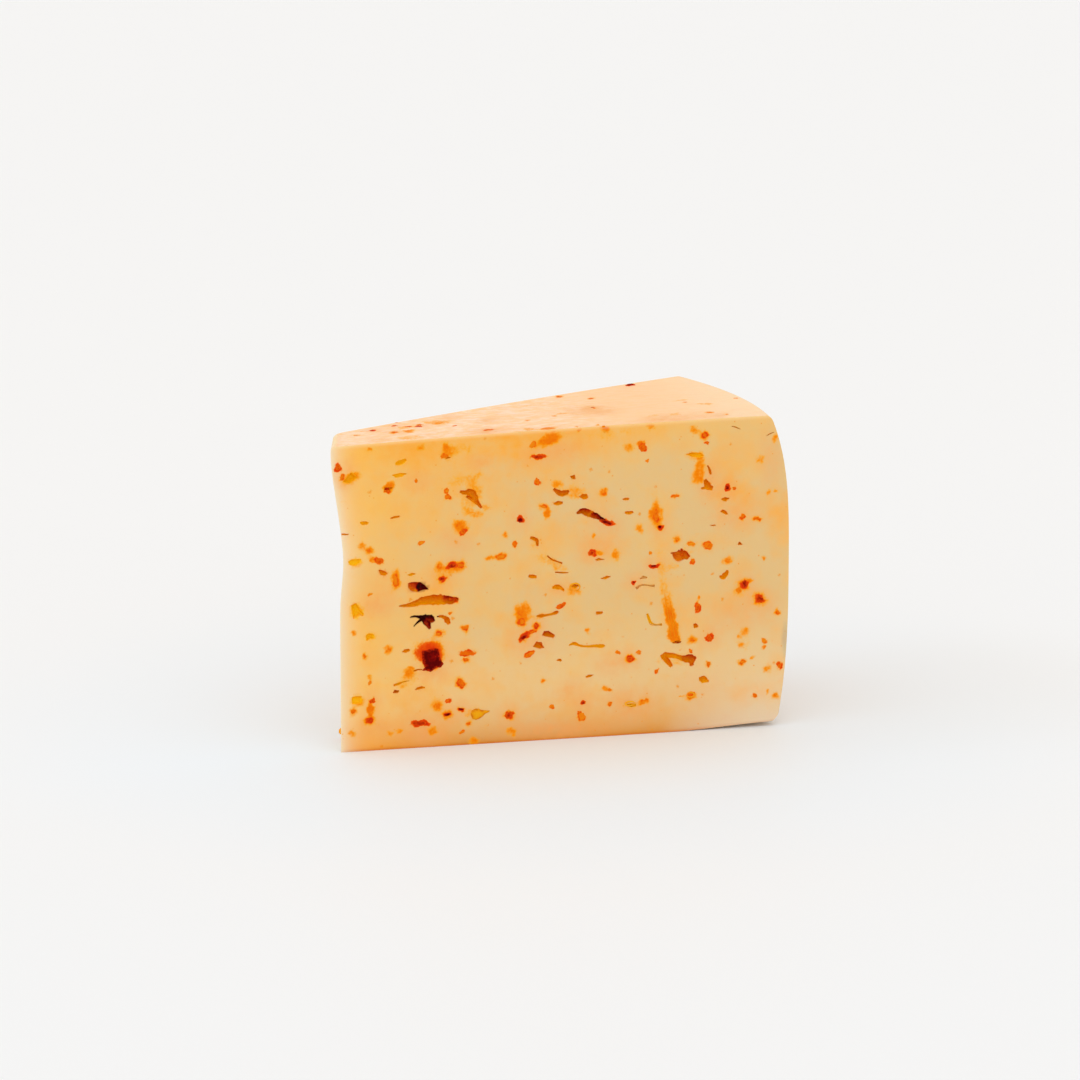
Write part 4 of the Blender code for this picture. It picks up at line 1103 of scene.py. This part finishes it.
def cheeseFinish():
    finish = Finish("chilliCheese")
    tones = cheeseTones
    broad = finish.grain(11.0, 3.0)
    middle = finish.grain(2.4, 3.0)
    fine = finish.grain(0.6, 3.0)
    oil, core, blush = (finish.attribute(name) for name in ("oil", "core", "blush"))
    rind, pit, tint = (finish.attribute(name) for name in ("rind", "pit", "tint"))
    # painted glow near the thin tip, warmer paste near the top edge, and tone that differs at random
    glowAndWarmShare = (finish.attribute("warmth") + (broad - 0.5) * 0.7 + (middle - 0.5) * 0.3).atLeast(0.0).atMost(1.0)
    cloud = finish.grain(6.0, 3.0, (1.0, 1.0, 1.0), (0.021, 0.0, 0.05))
    drift = (cloud - 0.5) * 1.0 + (broad - 0.5) * 0.8
    amber = (finish.attribute("amber") * (0.8 + (middle - 0.5) * 1.2) + drift).atLeast(0.0).atMost(1.0)
    height = finish.node("ShaderNodeSeparateXYZ", {}, (finish.place(),), "Z").within(0.01, 0.034)
    colour = finish.mixed(tones["paste"], tones["pasteHigh"], height)
    colour = finish.mixed(colour, tones["glowAndWarmPaste"], glowAndWarmShare)
    colour = finish.mixed(colour, tones["amberPaste"], amber)
    footShare = (finish.attribute("foot") * 0.95 + (middle - 0.5) * 0.1).atLeast(0.0).atMost(1.0)
    foot = finish.mixed(tones["footPaste"], tones["footFar"], finish.attribute("shoulder") ** 0.5)
    foot = finish.mixed(foot, tones["footNear"], finish.attribute("warmth").within(0.1, 0.7))
    colour = finish.mixed(colour, foot, footShare)
    # painted contact shade along the foot
    colour = finish.mixed(colour, tones["sole"], finish.attribute("sole") * 0.85)
    colour = finish.mixed(colour, tones["glowPaste"], finish.attribute("glow") * 0.9)
    skin, streaks, rough = rindColour(finish, tones)
    colour = finish.mixed(colour, skin, rind)
    blushShare = (blush * (0.8 + (middle - 0.5) * 1.6)).atLeast(0.0).atMost(0.8)
    colour = finish.mixed(colour, tones["blush"], blushShare)
    torn = (middle - 0.5) * 0.85 + (fine - 0.5) * 0.5
    oilShare = (oil + torn).within(0.1, 0.85)
    oilStops = [(0.0, linear(248, 186, 64)), (1.0, linear(242, 118, 0)), (0.45, linear(250, 168, 8)),
                (0.75, linear(250, 146, 0))]
    colour = finish.mixed(colour, finish.ramp(oil + torn * 0.7, oilStops), oilShare)
    coreShare = (core + torn).within(0.36, 0.85)
    coreStops = [(0.3, linear(244, 142, 2)), (1.0, linear(206, 34, 0)), (0.5, linear(240, 102, 0)),
                 (0.74, linear(230, 68, 0))]
    colour = finish.mixed(colour, finish.ramp(core * 0.7 + torn * 0.5, coreStops), coreShare)
    for spacing, least, most in ((2.6, 0.02, 0.09), (6.3, 0.02, 0.09)):
        inputs = {"Vector": finish.place(), "Scale": 1.0 / (spacing * mm)}
        spots = finish.node("ShaderNodeTexVoronoi", {"feature": "F1"}, inputs, "Distance")
        chance = finish.node("ShaderNodeTexVoronoi", {"feature": "F1"}, inputs, "Color")
        dots = (1.0 - (spots + (fine - 0.5) * 0.2).within(least, most)) * chance.within(0.5, 0.62)
        colour = finish.mixed(colour, tones["speck"], dots * 0.75 * (1.0 - rind))
    # hole colours: partly the chilli and oil in the holes, partly painted shade and light scattered in the hollows
    pitStops = [(0.0, linear(50, 0, 0)), (1.0, linear(255, 196, 16)), (0.14, linear(146, 6, 0)),
                (0.3, linear(204, 62, 0)), (0.45, linear(228, 116, 0)), (0.6, linear(236, 140, 0)),
                (0.76, linear(250, 168, 2))]
    pitShare = (pit * (1.3 + (middle - 0.5) * 0.8)).atLeast(0.0).atMost(1.0)
    pitColour = finish.ramp(tint + (middle - 0.5) * 0.28 + (fine - 0.5) * 0.16, pitStops)
    colour = finish.mixed(colour, pitColour, pitShare * (1.0 - core.within(0.6, 1.0) * tint.within(0.1, 0.4)))
    # pale crumbled top edge, partly painted highlight
    colour = finish.mixed(colour, tones["lip"], finish.attribute("lip") * (0.35 + middle * 0.4))
    mouldShare = (finish.attribute("mould") * 1.2 + (middle - 0.5) * 0.6).within(0.3, 1.1)
    colour = finish.mixed(colour, tones["mould"], mouldShare * 0.3)
    finish.feed(finish.shader.inputs["Base Color"], colour)
    finish.feed(finish.shader.inputs["Roughness"], 0.42 + (fine - 0.5) * 0.2 + rind * 0.14 - oilShare * 0.1)
    drag = finish.grain(0.8, 2.0, (1.0, 1.0, 0.12))
    first = finish.bump(fine, 0.35, 0.06)
    second = finish.bump(drag, 0.25, 0.05, first)
    finish.feed(finish.shader.inputs["Normal"], finish.bump(streaks * rough + middle * 0.3, 0.4, 0.12, second))
    finish.constant(Specular_IOR_Level=0.05, Subsurface_Weight=0.12, Subsurface_Radius=(1.0, 0.5, 0.22),
                    Subsurface_Scale=0.9 * mm)
    return finish.material


def makeBody():
    item = newObject("cheeseBody", latticeMesh())
    modifier = item.modifiers.new("edges", "BEVEL")
    modifier.width = body["cutEdgeRound"] * mm
    modifier.segments = 2
    modifier.limit_method = "ANGLE"
    modifier.angle_limit = math.radians(50)
    mesh = applied(item)
    refine(mesh, body["nearFeature"], ("front", "back"), True)
    refine(mesh, body["nearEdge"], ("front",), False)
    pressRind(mesh)
    print("body meshed")
    cutHoles(item)
    finishSurface(item.data)
    paintBody(item.data)
    item.data.materials.clear()
    item.data.materials.append(cheeseFinish())
    return item


# Chilli flakes: thin torn plates, set flush with the surface or a little proud
flake = {
    "shapes": 7,
    "corners": 6,
    "thickness": 0.26,           # mm, half of it proud
    "softTone": 0.72,            # paler ones are only stains in the paste
    "levels": ((1.0, 0.3, 1.0), (0.82, -0.14, 0.8), (0.45, -0.32, 0.3)),
    "chipLevels": ((1.0, 0.35, 1.0), (0.93, -0.25, 0.8), (0.6, -0.42, 0.3)),
    "unevenness": 0.08,
    "sunk": {"rim": 0.4, "bottom": 0.52},  # of the thickness, so that these stay flush
    "seed": 5,
    "sizeFactor": 1.0,
}

# The largest one, by its outline: along and up from its middle, mm
darkChip = {
    "place": (21.7, 20.8),
    "size": (5.36, 5.65),
    "thickness": 0.5,
    "outline": [(-2.48, 2.19), (-1.2, 2.44), (0.26, 2.73), (1.42, 2.55), (1.71, 0.91), (2.2, -0.55), (2.6, -1.09),
                (2.0, -2.0), (0.98, -1.93), (-0.47, -2.92), (-1.57, -2.55), (-2.48, -2.48), (-1.85, -1.75),
                (-2.3, -0.73), (-2.48, 0.55)],
}

# Pieces that stand further out: side, along, up, (length, thickness, breadth), turn, tone
proudFlakes = [
    ("top", 79.8, 43.2, (3.2, 1.25, 1.7), 22.1, 0.16),
    ("tip", 14.1, 4.9, (1.2, 1.5, 2.2), 0.0, 0.95),
]


def plateMesh(name, outline, levels, draw):  # a chip whose edge sinks in and whose middle stands out
    count = len(outline)
    points, polygons, rims = [], [], []
    for share, depth, rim in levels:
        for spot in outline:
            points.append((spot.x * share, depth + draw.uniform(-0.08, 0.08) * abs(depth), spot.y * share))
            rims.append(rim)
    points += [(0.0, levels[-1][1] * 1.06, 0.0), (0.0, levels[0][1] * 1.4, 0.0)]
    rims += [0.0, 1.0]
    last = count * (len(levels) - 1)
    for corner in range(count):
        following = (corner + 1) % count
        for a in range(0, last, count):
            polygons.append((a + corner, a + following, a + count + following, a + count + corner))
        polygons.append((last + corner, last + following, len(points) - 2))
        polygons.append((following, corner, len(points) - 1))
    mesh = bpy.data.meshes.new(name)
    mesh.from_pydata(points, [], polygons)
    faceOutwards(mesh)
    mesh.shade_smooth()
    store(mesh, "rim", rims)
    return mesh


def flakeShapes():  # the last shape is the dark chip's
    draw = random.Random(flake["seed"])
    collection = bpy.data.collections.new("flakeShapes")
    bpy.context.scene.collection.children.link(collection)
    outlines = [tornOutline(draw, flake["corners"] + number % 3) for number in range(flake["shapes"])]
    width, height = darkChip["size"]
    corners = [Vector((x / width, z / height)) for x, z in darkChip["outline"]]
    outlines.append(splitSides(corners, draw, 0.02))
    for number, outline in enumerate(outlines):
        levels = flake["levels"] if number < flake["shapes"] else flake["chipLevels"]
        mesh = plateMesh("flakeShape", outline, levels, draw)
        collection.objects.link(bpy.data.objects.new("flakeShape", mesh))
    return collection


def onBody(tree, name, along, up):  # where a ray into a cut face meets the cheese, and how it faces
    axes = faces[name]["axes"]
    start = faces[name]["origin"] + axes @ np.array([along, -6.0, up])
    hit, normal, number, distance = tree.ray_cast(Vector(start) * mm, Vector(axes[:, 1]), 12.0 * mm)
    return hit, normal


def layFlat(name, normal, turn):  # how a piece is turned to lie on a side
    axes = Matrix(faces[name]["axes"].tolist())
    tilt = axes.col[1].rotation_difference(-normal)
    if tilt.angle > 1.0:
        tilt = Matrix.Identity(3).to_quaternion()
    return (tilt.to_matrix() @ axes @ Matrix.Rotation(-math.radians(turn), 3, "Y")).to_euler()


def flakePoints(tree):
    rows = []
    draw = random.Random(flake["seed"] + 1)
    for name in marks:
        for along, up, width, height, turn, tone in marks[name]["flakes"]:
            hit, normal = onBody(tree, name, along, up)
            shape = draw.randrange(flake["shapes"])
            if tone <= flake["softTone"] and hit is not None:
                thick = flake["thickness"] * (1.3 - tone)
                sunk = Vector(faces[name]["axes"][:, 1]) * flake["sunk"].get(name, 0.0) * thick * mm
                rows.append((hit + sunk, layFlat(name, normal, turn), (width, thick, height), tone, shape))
    for name, along, up, size, turn, tone in proudFlakes:
        hit, normal = onBody(tree, name, along, up)
        rows.append((hit, layFlat(name, normal, turn), size, tone, 2))
    hit, normal = onBody(tree, "front", *darkChip["place"])
    width, height = darkChip["size"]
    rows.append((hit, layFlat("front", normal, 0.0), (width, darkChip["thickness"], height), 0.0, flake["shapes"]))
    return rows


def scatterTree(collection, material):
    tree = bpy.data.node_groups.new("scatterFlakes", "GeometryNodeTree")
    tree.interface.new_socket(name="Geometry", in_out="INPUT", socket_type="NodeSocketGeometry")
    for name, value in (("Size", flake["sizeFactor"]), ("Unevenness", flake["unevenness"])):
        socket = tree.interface.new_socket(name=name, in_out="INPUT", socket_type="NodeSocketFloat")
        socket.default_value = value
    socket = tree.interface.new_socket(name="Seed", in_out="INPUT", socket_type="NodeSocketInt")
    socket.default_value = flake["seed"]
    tree.interface.new_socket(name="Geometry", in_out="OUTPUT", socket_type="NodeSocketGeometry")
    nodes, links = tree.nodes, tree.links

    def attribute(name, kind):
        made = nodes.new("GeometryNodeInputNamedAttribute")
        made.data_type = kind
        made.inputs["Name"].default_value = name
        return made.outputs[0]

    start = nodes.new("NodeGroupInput")
    finish = nodes.new("NodeGroupOutput")
    dots = nodes.new("GeometryNodeMeshToPoints")
    shapes = nodes.new("GeometryNodeCollectionInfo")
    shapes.inputs["Collection"].default_value = collection
    shapes.inputs["Separate Children"].default_value = True
    shapes.inputs["Reset Children"].default_value = True
    rotation = nodes.new("FunctionNodeEulerToRotation")
    jitter = nodes.new("FunctionNodeRandomValue")
    jitter.data_type = "FLOAT"
    lowest = nodes.new("ShaderNodeMath")
    lowest.operation = "SUBTRACT"
    lowest.inputs[0].default_value = 1.0
    highest = nodes.new("ShaderNodeMath")
    highest.operation = "ADD"
    highest.inputs[0].default_value = 1.0
    sized = nodes.new("ShaderNodeMath")
    sized.operation = "MULTIPLY"
    scaled = nodes.new("ShaderNodeVectorMath")
    scaled.operation = "SCALE"
    instances = nodes.new("GeometryNodeInstanceOnPoints")
    instances.inputs["Pick Instance"].default_value = True
    real = nodes.new("GeometryNodeRealizeInstances")
    painted = nodes.new("GeometryNodeSetMaterial")
    painted.inputs["Material"].default_value = material
    links.new(start.outputs["Geometry"], dots.inputs["Mesh"])
    links.new(dots.outputs["Points"], instances.inputs["Points"])
    links.new(shapes.outputs[0], instances.inputs["Instance"])
    links.new(attribute("shape", "INT"), instances.inputs["Instance Index"])
    links.new(attribute("turned", "FLOAT_VECTOR"), rotation.inputs[0])
    links.new(rotation.outputs[0], instances.inputs["Rotation"])
    links.new(start.outputs["Unevenness"], lowest.inputs[1])
    links.new(start.outputs["Unevenness"], highest.inputs[1])
    links.new(lowest.outputs[0], jitter.inputs[2])
    links.new(highest.outputs[0], jitter.inputs[3])
    links.new(start.outputs["Seed"], jitter.inputs["Seed"])
    links.new(start.outputs["Size"], sized.inputs[0])
    links.new(jitter.outputs[1], sized.inputs[1])
    links.new(attribute("spread", "FLOAT_VECTOR"), scaled.inputs[0])
    links.new(sized.outputs[0], scaled.inputs["Scale"])
    links.new(scaled.outputs[0], instances.inputs["Scale"])
    links.new(instances.outputs[0], real.inputs[0])
    links.new(real.outputs[0], painted.inputs[0])
    links.new(painted.outputs[0], finish.inputs[0])
    return tree


def flakeFinish():
    finish = Finish("chilliFlake")
    fine = finish.grain(0.5, 3.0)
    middle = finish.grain(1.6, 2.0)
    tone = finish.attribute("tone")
    rim = finish.attribute("rim")
    share = tone + (middle - 0.5) * 0.5 + (fine - 0.5) * 0.4
    skin = finish.ramp(share, [(0.0, linear(92, 0, 0)), (1.0, linear(244, 165, 28)), (0.15, linear(134, 6, 1)),
                               (0.36, linear(212, 58, 2)), (0.58, linear(240, 114, 4))])
    edge = (rim + (fine - 0.5) * 0.9 + tone * 0.45).within(0.4, 1.05)
    soaked = finish.ramp(tone, [(0.0, linear(206, 44, 0)), (1.0, linear(248, 166, 24)), (0.3, linear(228, 78, 2)),
                                (0.6, linear(242, 118, 4))])
    finish.feed(finish.shader.inputs["Base Color"], finish.mixed(skin, soaked, edge))
    finish.feed(finish.shader.inputs["Roughness"], 0.34 + (fine - 0.5) * 0.3)
    finish.feed(finish.shader.inputs["Normal"], finish.bump(fine, 0.5, 0.08))
    finish.constant(Specular_IOR_Level=0.03, Subsurface_Weight=0.05, Subsurface_Radius=(1.0, 0.3, 0.1),
                    Subsurface_Scale=0.6 * mm)
    return finish.material


def makeFlakes(material, tree):
    rows = flakePoints(tree)
    collection = flakeShapes()
    mesh = bpy.data.meshes.new("chilliFlakes")
    mesh.from_pydata([row[0] for row in rows], [], [])
    turned = mesh.attributes.new("turned", "FLOAT_VECTOR", "POINT")
    turned.data.foreach_set("vector", np.array([list(row[1]) for row in rows], np.float32).ravel())
    spread = mesh.attributes.new("spread", "FLOAT_VECTOR", "POINT")
    spread.data.foreach_set("vector", (np.array([row[2] for row in rows], np.float32) * mm).ravel())
    store(mesh, "tone", [row[3] for row in rows])
    shape = mesh.attributes.new("shape", "INT", "POINT")
    shape.data.foreach_set("value", [row[4] for row in rows])
    item = newObject("chilliFlakes", mesh)
    modifier = item.modifiers.new("scatter", "NODES")
    modifier.node_group = scatterTree(collection, material)
    for socket in modifier.node_group.interface.items_tree:
        if socket.in_out == "INPUT" and socket.name == "Seed":
            modifier[socket.identifier] = flake["seed"]
    applied(item)
    for thing in list(collection.objects):
        bpy.data.objects.remove(thing, do_unlink=True)
    bpy.data.collections.remove(collection)
    print("flakes:", len(rows), "triangles", triangles(item.data))
    return item


# A soft yellow seed-like bit, its outline in mm from the middle
yellowSeed = {
    "place": (32.2, 7.2),
    "outline": [(-1.7, 0.2), (-1.35, 1.1), (-0.4, 1.5), (0.5, 1.35), (1.3, 1.0), (2.2, 0.9), (3.4, 0.7), (3.2, 0.35),
                (2.2, -0.05), (1.4, -0.8), (0.5, -1.35), (-0.4, -1.5), (-1.3, -1.1)],
    "levels": ((1.0, 0.3, 1.0), (0.88, -0.06, 0.8), (0.5, -0.2, 0.3)),
}

# Curled skins, seen from the side: along, up, half length, half height, from, to (degrees), thickness, tone
curledSkins = [
    (55.5, 36.1, 1.2, 0.9, -70, 235, 0.2, 0.75),
    (68.8, 7.5, 1.15, 0.5, 15, 335, 0.17, 0.9), (83.4, 8.7, 0.85, 0.55, 190, 480, 0.18, 0.8),
    (80.3, 21.9, 0.75, 0.5, 190, 340, 0.16, 0.05),
]

# Fibres of the pepper strip: along, up, half width
pepperFibres = [
    [(77.0, 33.4, 0.05), (77.2, 31.6, 0.08), (77.9, 27.6, 0.1), (78.4, 23.8, 0.09), (78.7, 22.6, 0.05)],
    [(78.3, 31.2, 0.05), (79.1, 27.4, 0.09), (80.0, 24.2, 0.1), (80.5, 22.4, 0.06)],
    [(78.2, 28.6, 0.05), (78.9, 25.6, 0.08), (79.5, 22.8, 0.06)],
]


def makeSeed():
    outline = splitSides([Vector(spot) for spot in yellowSeed["outline"]], random.Random(3), 0.01)
    mesh = plateMesh("yellowSeed", outline, yellowSeed["levels"], random.Random(4))
    mesh.transform(sideMatrix("front", *yellowSeed["place"]))
    finish = Finish("seedYellow")
    middle = finish.grain(1.1, 3.0)
    share = finish.attribute("rim") + (middle - 0.5) * 2.0
    skin = finish.ramp(share, [(0.1, linear(242, 170, 10)), (1.0, linear(214, 116, 0)), (0.55, linear(236, 152, 4))])
    finish.feed(finish.shader.inputs["Base Color"], skin)
    finish.feed(finish.shader.inputs["Roughness"], 0.36 + (middle - 0.5) * 0.3)
    finish.constant(Specular_IOR_Level=0.08, Subsurface_Weight=0.15, Subsurface_Radius=(1.0, 0.6, 0.1),
                    Subsurface_Scale=0.8 * mm)
    mesh.materials.append(finish.material)
    return newObject("yellowSeed", mesh)


def sideMatrix(name, along, up):  # from mm on a side to the object's metres
    axes = faces[name]["axes"]
    start = faces[name]["origin"] + axes @ np.array([along, 0.0, up])
    return Matrix.Translation(Vector(start) * mm) @ Matrix(axes.tolist()).to_4x4() @ Matrix.Scale(mm, 4)


def threadMesh(name, threads, ring=8):  # round threads half sunk in the front cut
    surface = bmesh.new()
    tones = surface.verts.layers.float.new("tone")
    for stations, tone in threads:
        rings = []
        for number, (along, up, half) in enumerate(stations):
            ahead, behind = stations[min(number + 1, len(stations) - 1)], stations[max(number - 1, 0)]
            side = Vector((behind[1] - ahead[1], ahead[0] - behind[0])).normalized()
            circle = []
            for corner in range(ring):
                turn = 2 * math.pi * corner / ring
                reach = math.cos(turn) * half
                vert = surface.verts.new((along + side.x * reach, math.sin(turn) * half, up + side.y * reach))
                vert[tones] = tone
                circle.append(vert)
            rings.append(circle)
        for near, far in zip(rings[:-1], rings[1:]):
            for corner in range(ring):
                following = (corner + 1) % ring
                surface.faces.new((near[corner], near[following], far[following], far[corner]))
        surface.faces.new(rings[0][::-1])
        surface.faces.new(rings[-1])
    bmesh.ops.recalc_face_normals(surface, faces=surface.faces[:])
    mesh = bpy.data.meshes.new(name)
    surface.to_mesh(mesh)
    surface.free()
    mesh.shade_smooth()
    mesh.transform(sideMatrix("front", 0.0, 0.0))
    return mesh


def skinFinish():
    finish = Finish("pepperSkin")
    fine = finish.grain(0.6, 3.0)
    share = finish.attribute("tone") + (fine - 0.5) * 0.6
    skin = finish.ramp(share, [(0.0, linear(150, 56, 0)), (1.0, linear(247, 186, 44)), (0.35, linear(226, 100, 2)),
                               (0.7, linear(242, 150, 8))])
    finish.feed(finish.shader.inputs["Base Color"], skin)
    finish.feed(finish.shader.inputs["Roughness"], 0.38 + (fine - 0.5) * 0.3)
    finish.constant(Specular_IOR_Level=0.05)
    return finish.material


def makeSkins(material):
    threads = []
    for along, up, length, height, start, end, half, tone in curledSkins:
        stations = []
        for step in range(17):
            turn = math.radians(start + (end - start) * step / 16)
            thick = half * (0.35 + 0.65 * math.sin(math.pi * (step + 0.5) / 17) ** 0.5)
            stations.append((along + length * math.cos(turn), up + height * math.sin(turn), thick))
        threads.append((stations, tone))
    mesh = threadMesh("curledSkins", threads)
    mesh.materials.append(material)
    return newObject("curledSkins", mesh)


def makeFibres(material):
    mesh = threadMesh("pepperFibres", [([tuple(spot) for spot in smoothRun(run)], 0.66) for run in pepperFibres])
    mesh.materials.append(material)
    return newObject("pepperFibres", mesh)


cheese = makeBody()
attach(cheese, "root")
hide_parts("cheese_wedge")
print("body done")

redFlake = flakeFinish()
bodyTree = BVHTree.FromPolygons([vert.co for vert in cheese.data.vertices],
                                [face.vertices[:] for face in cheese.data.polygons])
flakes = makeFlakes(redFlake, bodyTree)
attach(flakes, "root")
print("flakes done")

pepperSkin = skinFinish()
for piece in (makeSeed(), makeSkins(pepperSkin), makeFibres(pepperSkin)):
    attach(piece, "root")
print("seed, skins and fibres done")


# Stage, light and camera
stage = {
    "floorSize": 12.0,           # m
    # near the cheese the floor is painted bluish, against the warm light the cheese bounces onto it
    "floorNear": linear(237, 243, 248),
    "floorSide": linear(243, 243, 243),
    "floorFar": linear(244, 243, 242),
    "floorShade": linear(232, 226, 218),
    "shadeAt": (0.1, 0.0, 0.0),
    "shadeReach": 0.075,
    "nearStart": 0.07,
    "nearEnd": 0.16,
    "fadeStart": -0.2,
    "fadeEnd": 0.35,
    "skyStrength": 0.83,
    "skyColour": (1.0, 0.998, 0.99, 1.0),
    "sunStrength": 0.76,
    "sunSpread": math.radians(110),
    "sunFrom": (-0.4, -0.5, 1.0),
}


def makeFloor():
    half = stage["floorSize"] / 2
    mesh = bpy.data.meshes.new("floor")
    mesh.from_pydata([(-half, -half, 0), (half, -half, 0), (half, half, 0), (-half, half, 0)], [], [(0, 1, 2, 3)])
    floor = newObject("floor", mesh)
    finish = Finish("paleTable")
    spot = finish.node("ShaderNodeTexCoord", {}, (), "Object")
    away = finish.node("ShaderNodeSeparateXYZ", {}, (spot,), "Y").within(stage["fadeStart"], stage["fadeEnd"])
    distance = finish.node("ShaderNodeVectorMath", {"operation": "LENGTH"}, (spot,), "Value")
    beyond = distance.within(stage["nearStart"], stage["nearEnd"])
    # painted bluish tint near the cheese, against its warm bounce light
    colour = finish.mixed(stage["floorNear"], stage["floorSide"], beyond)
    colour = finish.mixed(colour, stage["floorFar"], away)
    inputs = {0: spot, 1: stage["shadeAt"]}
    shaded = finish.node("ShaderNodeVectorMath", {"operation": "DISTANCE"}, inputs, "Value")
    colour = finish.mixed(colour, stage["floorShade"], 0.2 - shaded.within(0.02, stage["shadeReach"]) * 0.2)
    finish.feed(finish.shader.inputs["Base Color"], colour)
    finish.feed(finish.shader.inputs["Roughness"], 0.6 + (finish.grain(40.0) - 0.5) * 0.1)
    finish.constant(Specular_IOR_Level=0.2)
    mesh.materials.append(finish.material)


def makeLight():  # one very large soft lamp, above and a little to the left
    lamp = bpy.data.lights.new("softLamp", "SUN")
    lamp.energy = stage["sunStrength"]
    lamp.angle = stage["sunSpread"]
    item = newObject("softLamp", lamp)
    item.location = stage["sunFrom"]
    item.rotation_euler = Vector(stage["sunFrom"]).to_track_quat("Z", "Y").to_euler()


def makeStage():
    makeFloor()
    world = bpy.data.worlds.new("softRoom")
    world.use_nodes = True
    world.node_tree.nodes["Background"].inputs["Color"].default_value = stage["skyColour"]
    world.node_tree.nodes["Background"].inputs["Strength"].default_value = stage["skyStrength"]
    bpy.context.scene.world = world
    makeLight()
    bpy.context.scene.view_settings.view_transform = "Standard"


# The camera stands where the photograph was taken
camera = {
    "azimuth": math.radians(-13.57),
    "elevation": math.radians(12.80),
    "distance": 1.3,
    "aim": (-0.00171, -0.01145, 0.04421),
    "lens": 185.7,
}


def makeCamera():
    lens = bpy.data.cameras.new("camera")
    lens.lens = camera["lens"]
    lens.sensor_width = 36.0
    lens.clip_start = 0.05
    lens.clip_end = 50.0
    item = newObject("camera", lens)
    flat = math.cos(camera["elevation"])
    back = Vector((math.sin(camera["azimuth"]) * flat, -math.cos(camera["azimuth"]) * flat,
                   math.sin(camera["elevation"])))
    item.location = Vector(camera["aim"]) + back * camera["distance"]
    item.rotation_euler = (-back).to_track_quat("-Z", "Y").to_euler()
    bpy.context.scene.camera = item


makeStage()
makeCamera()
print("stage and camera done")
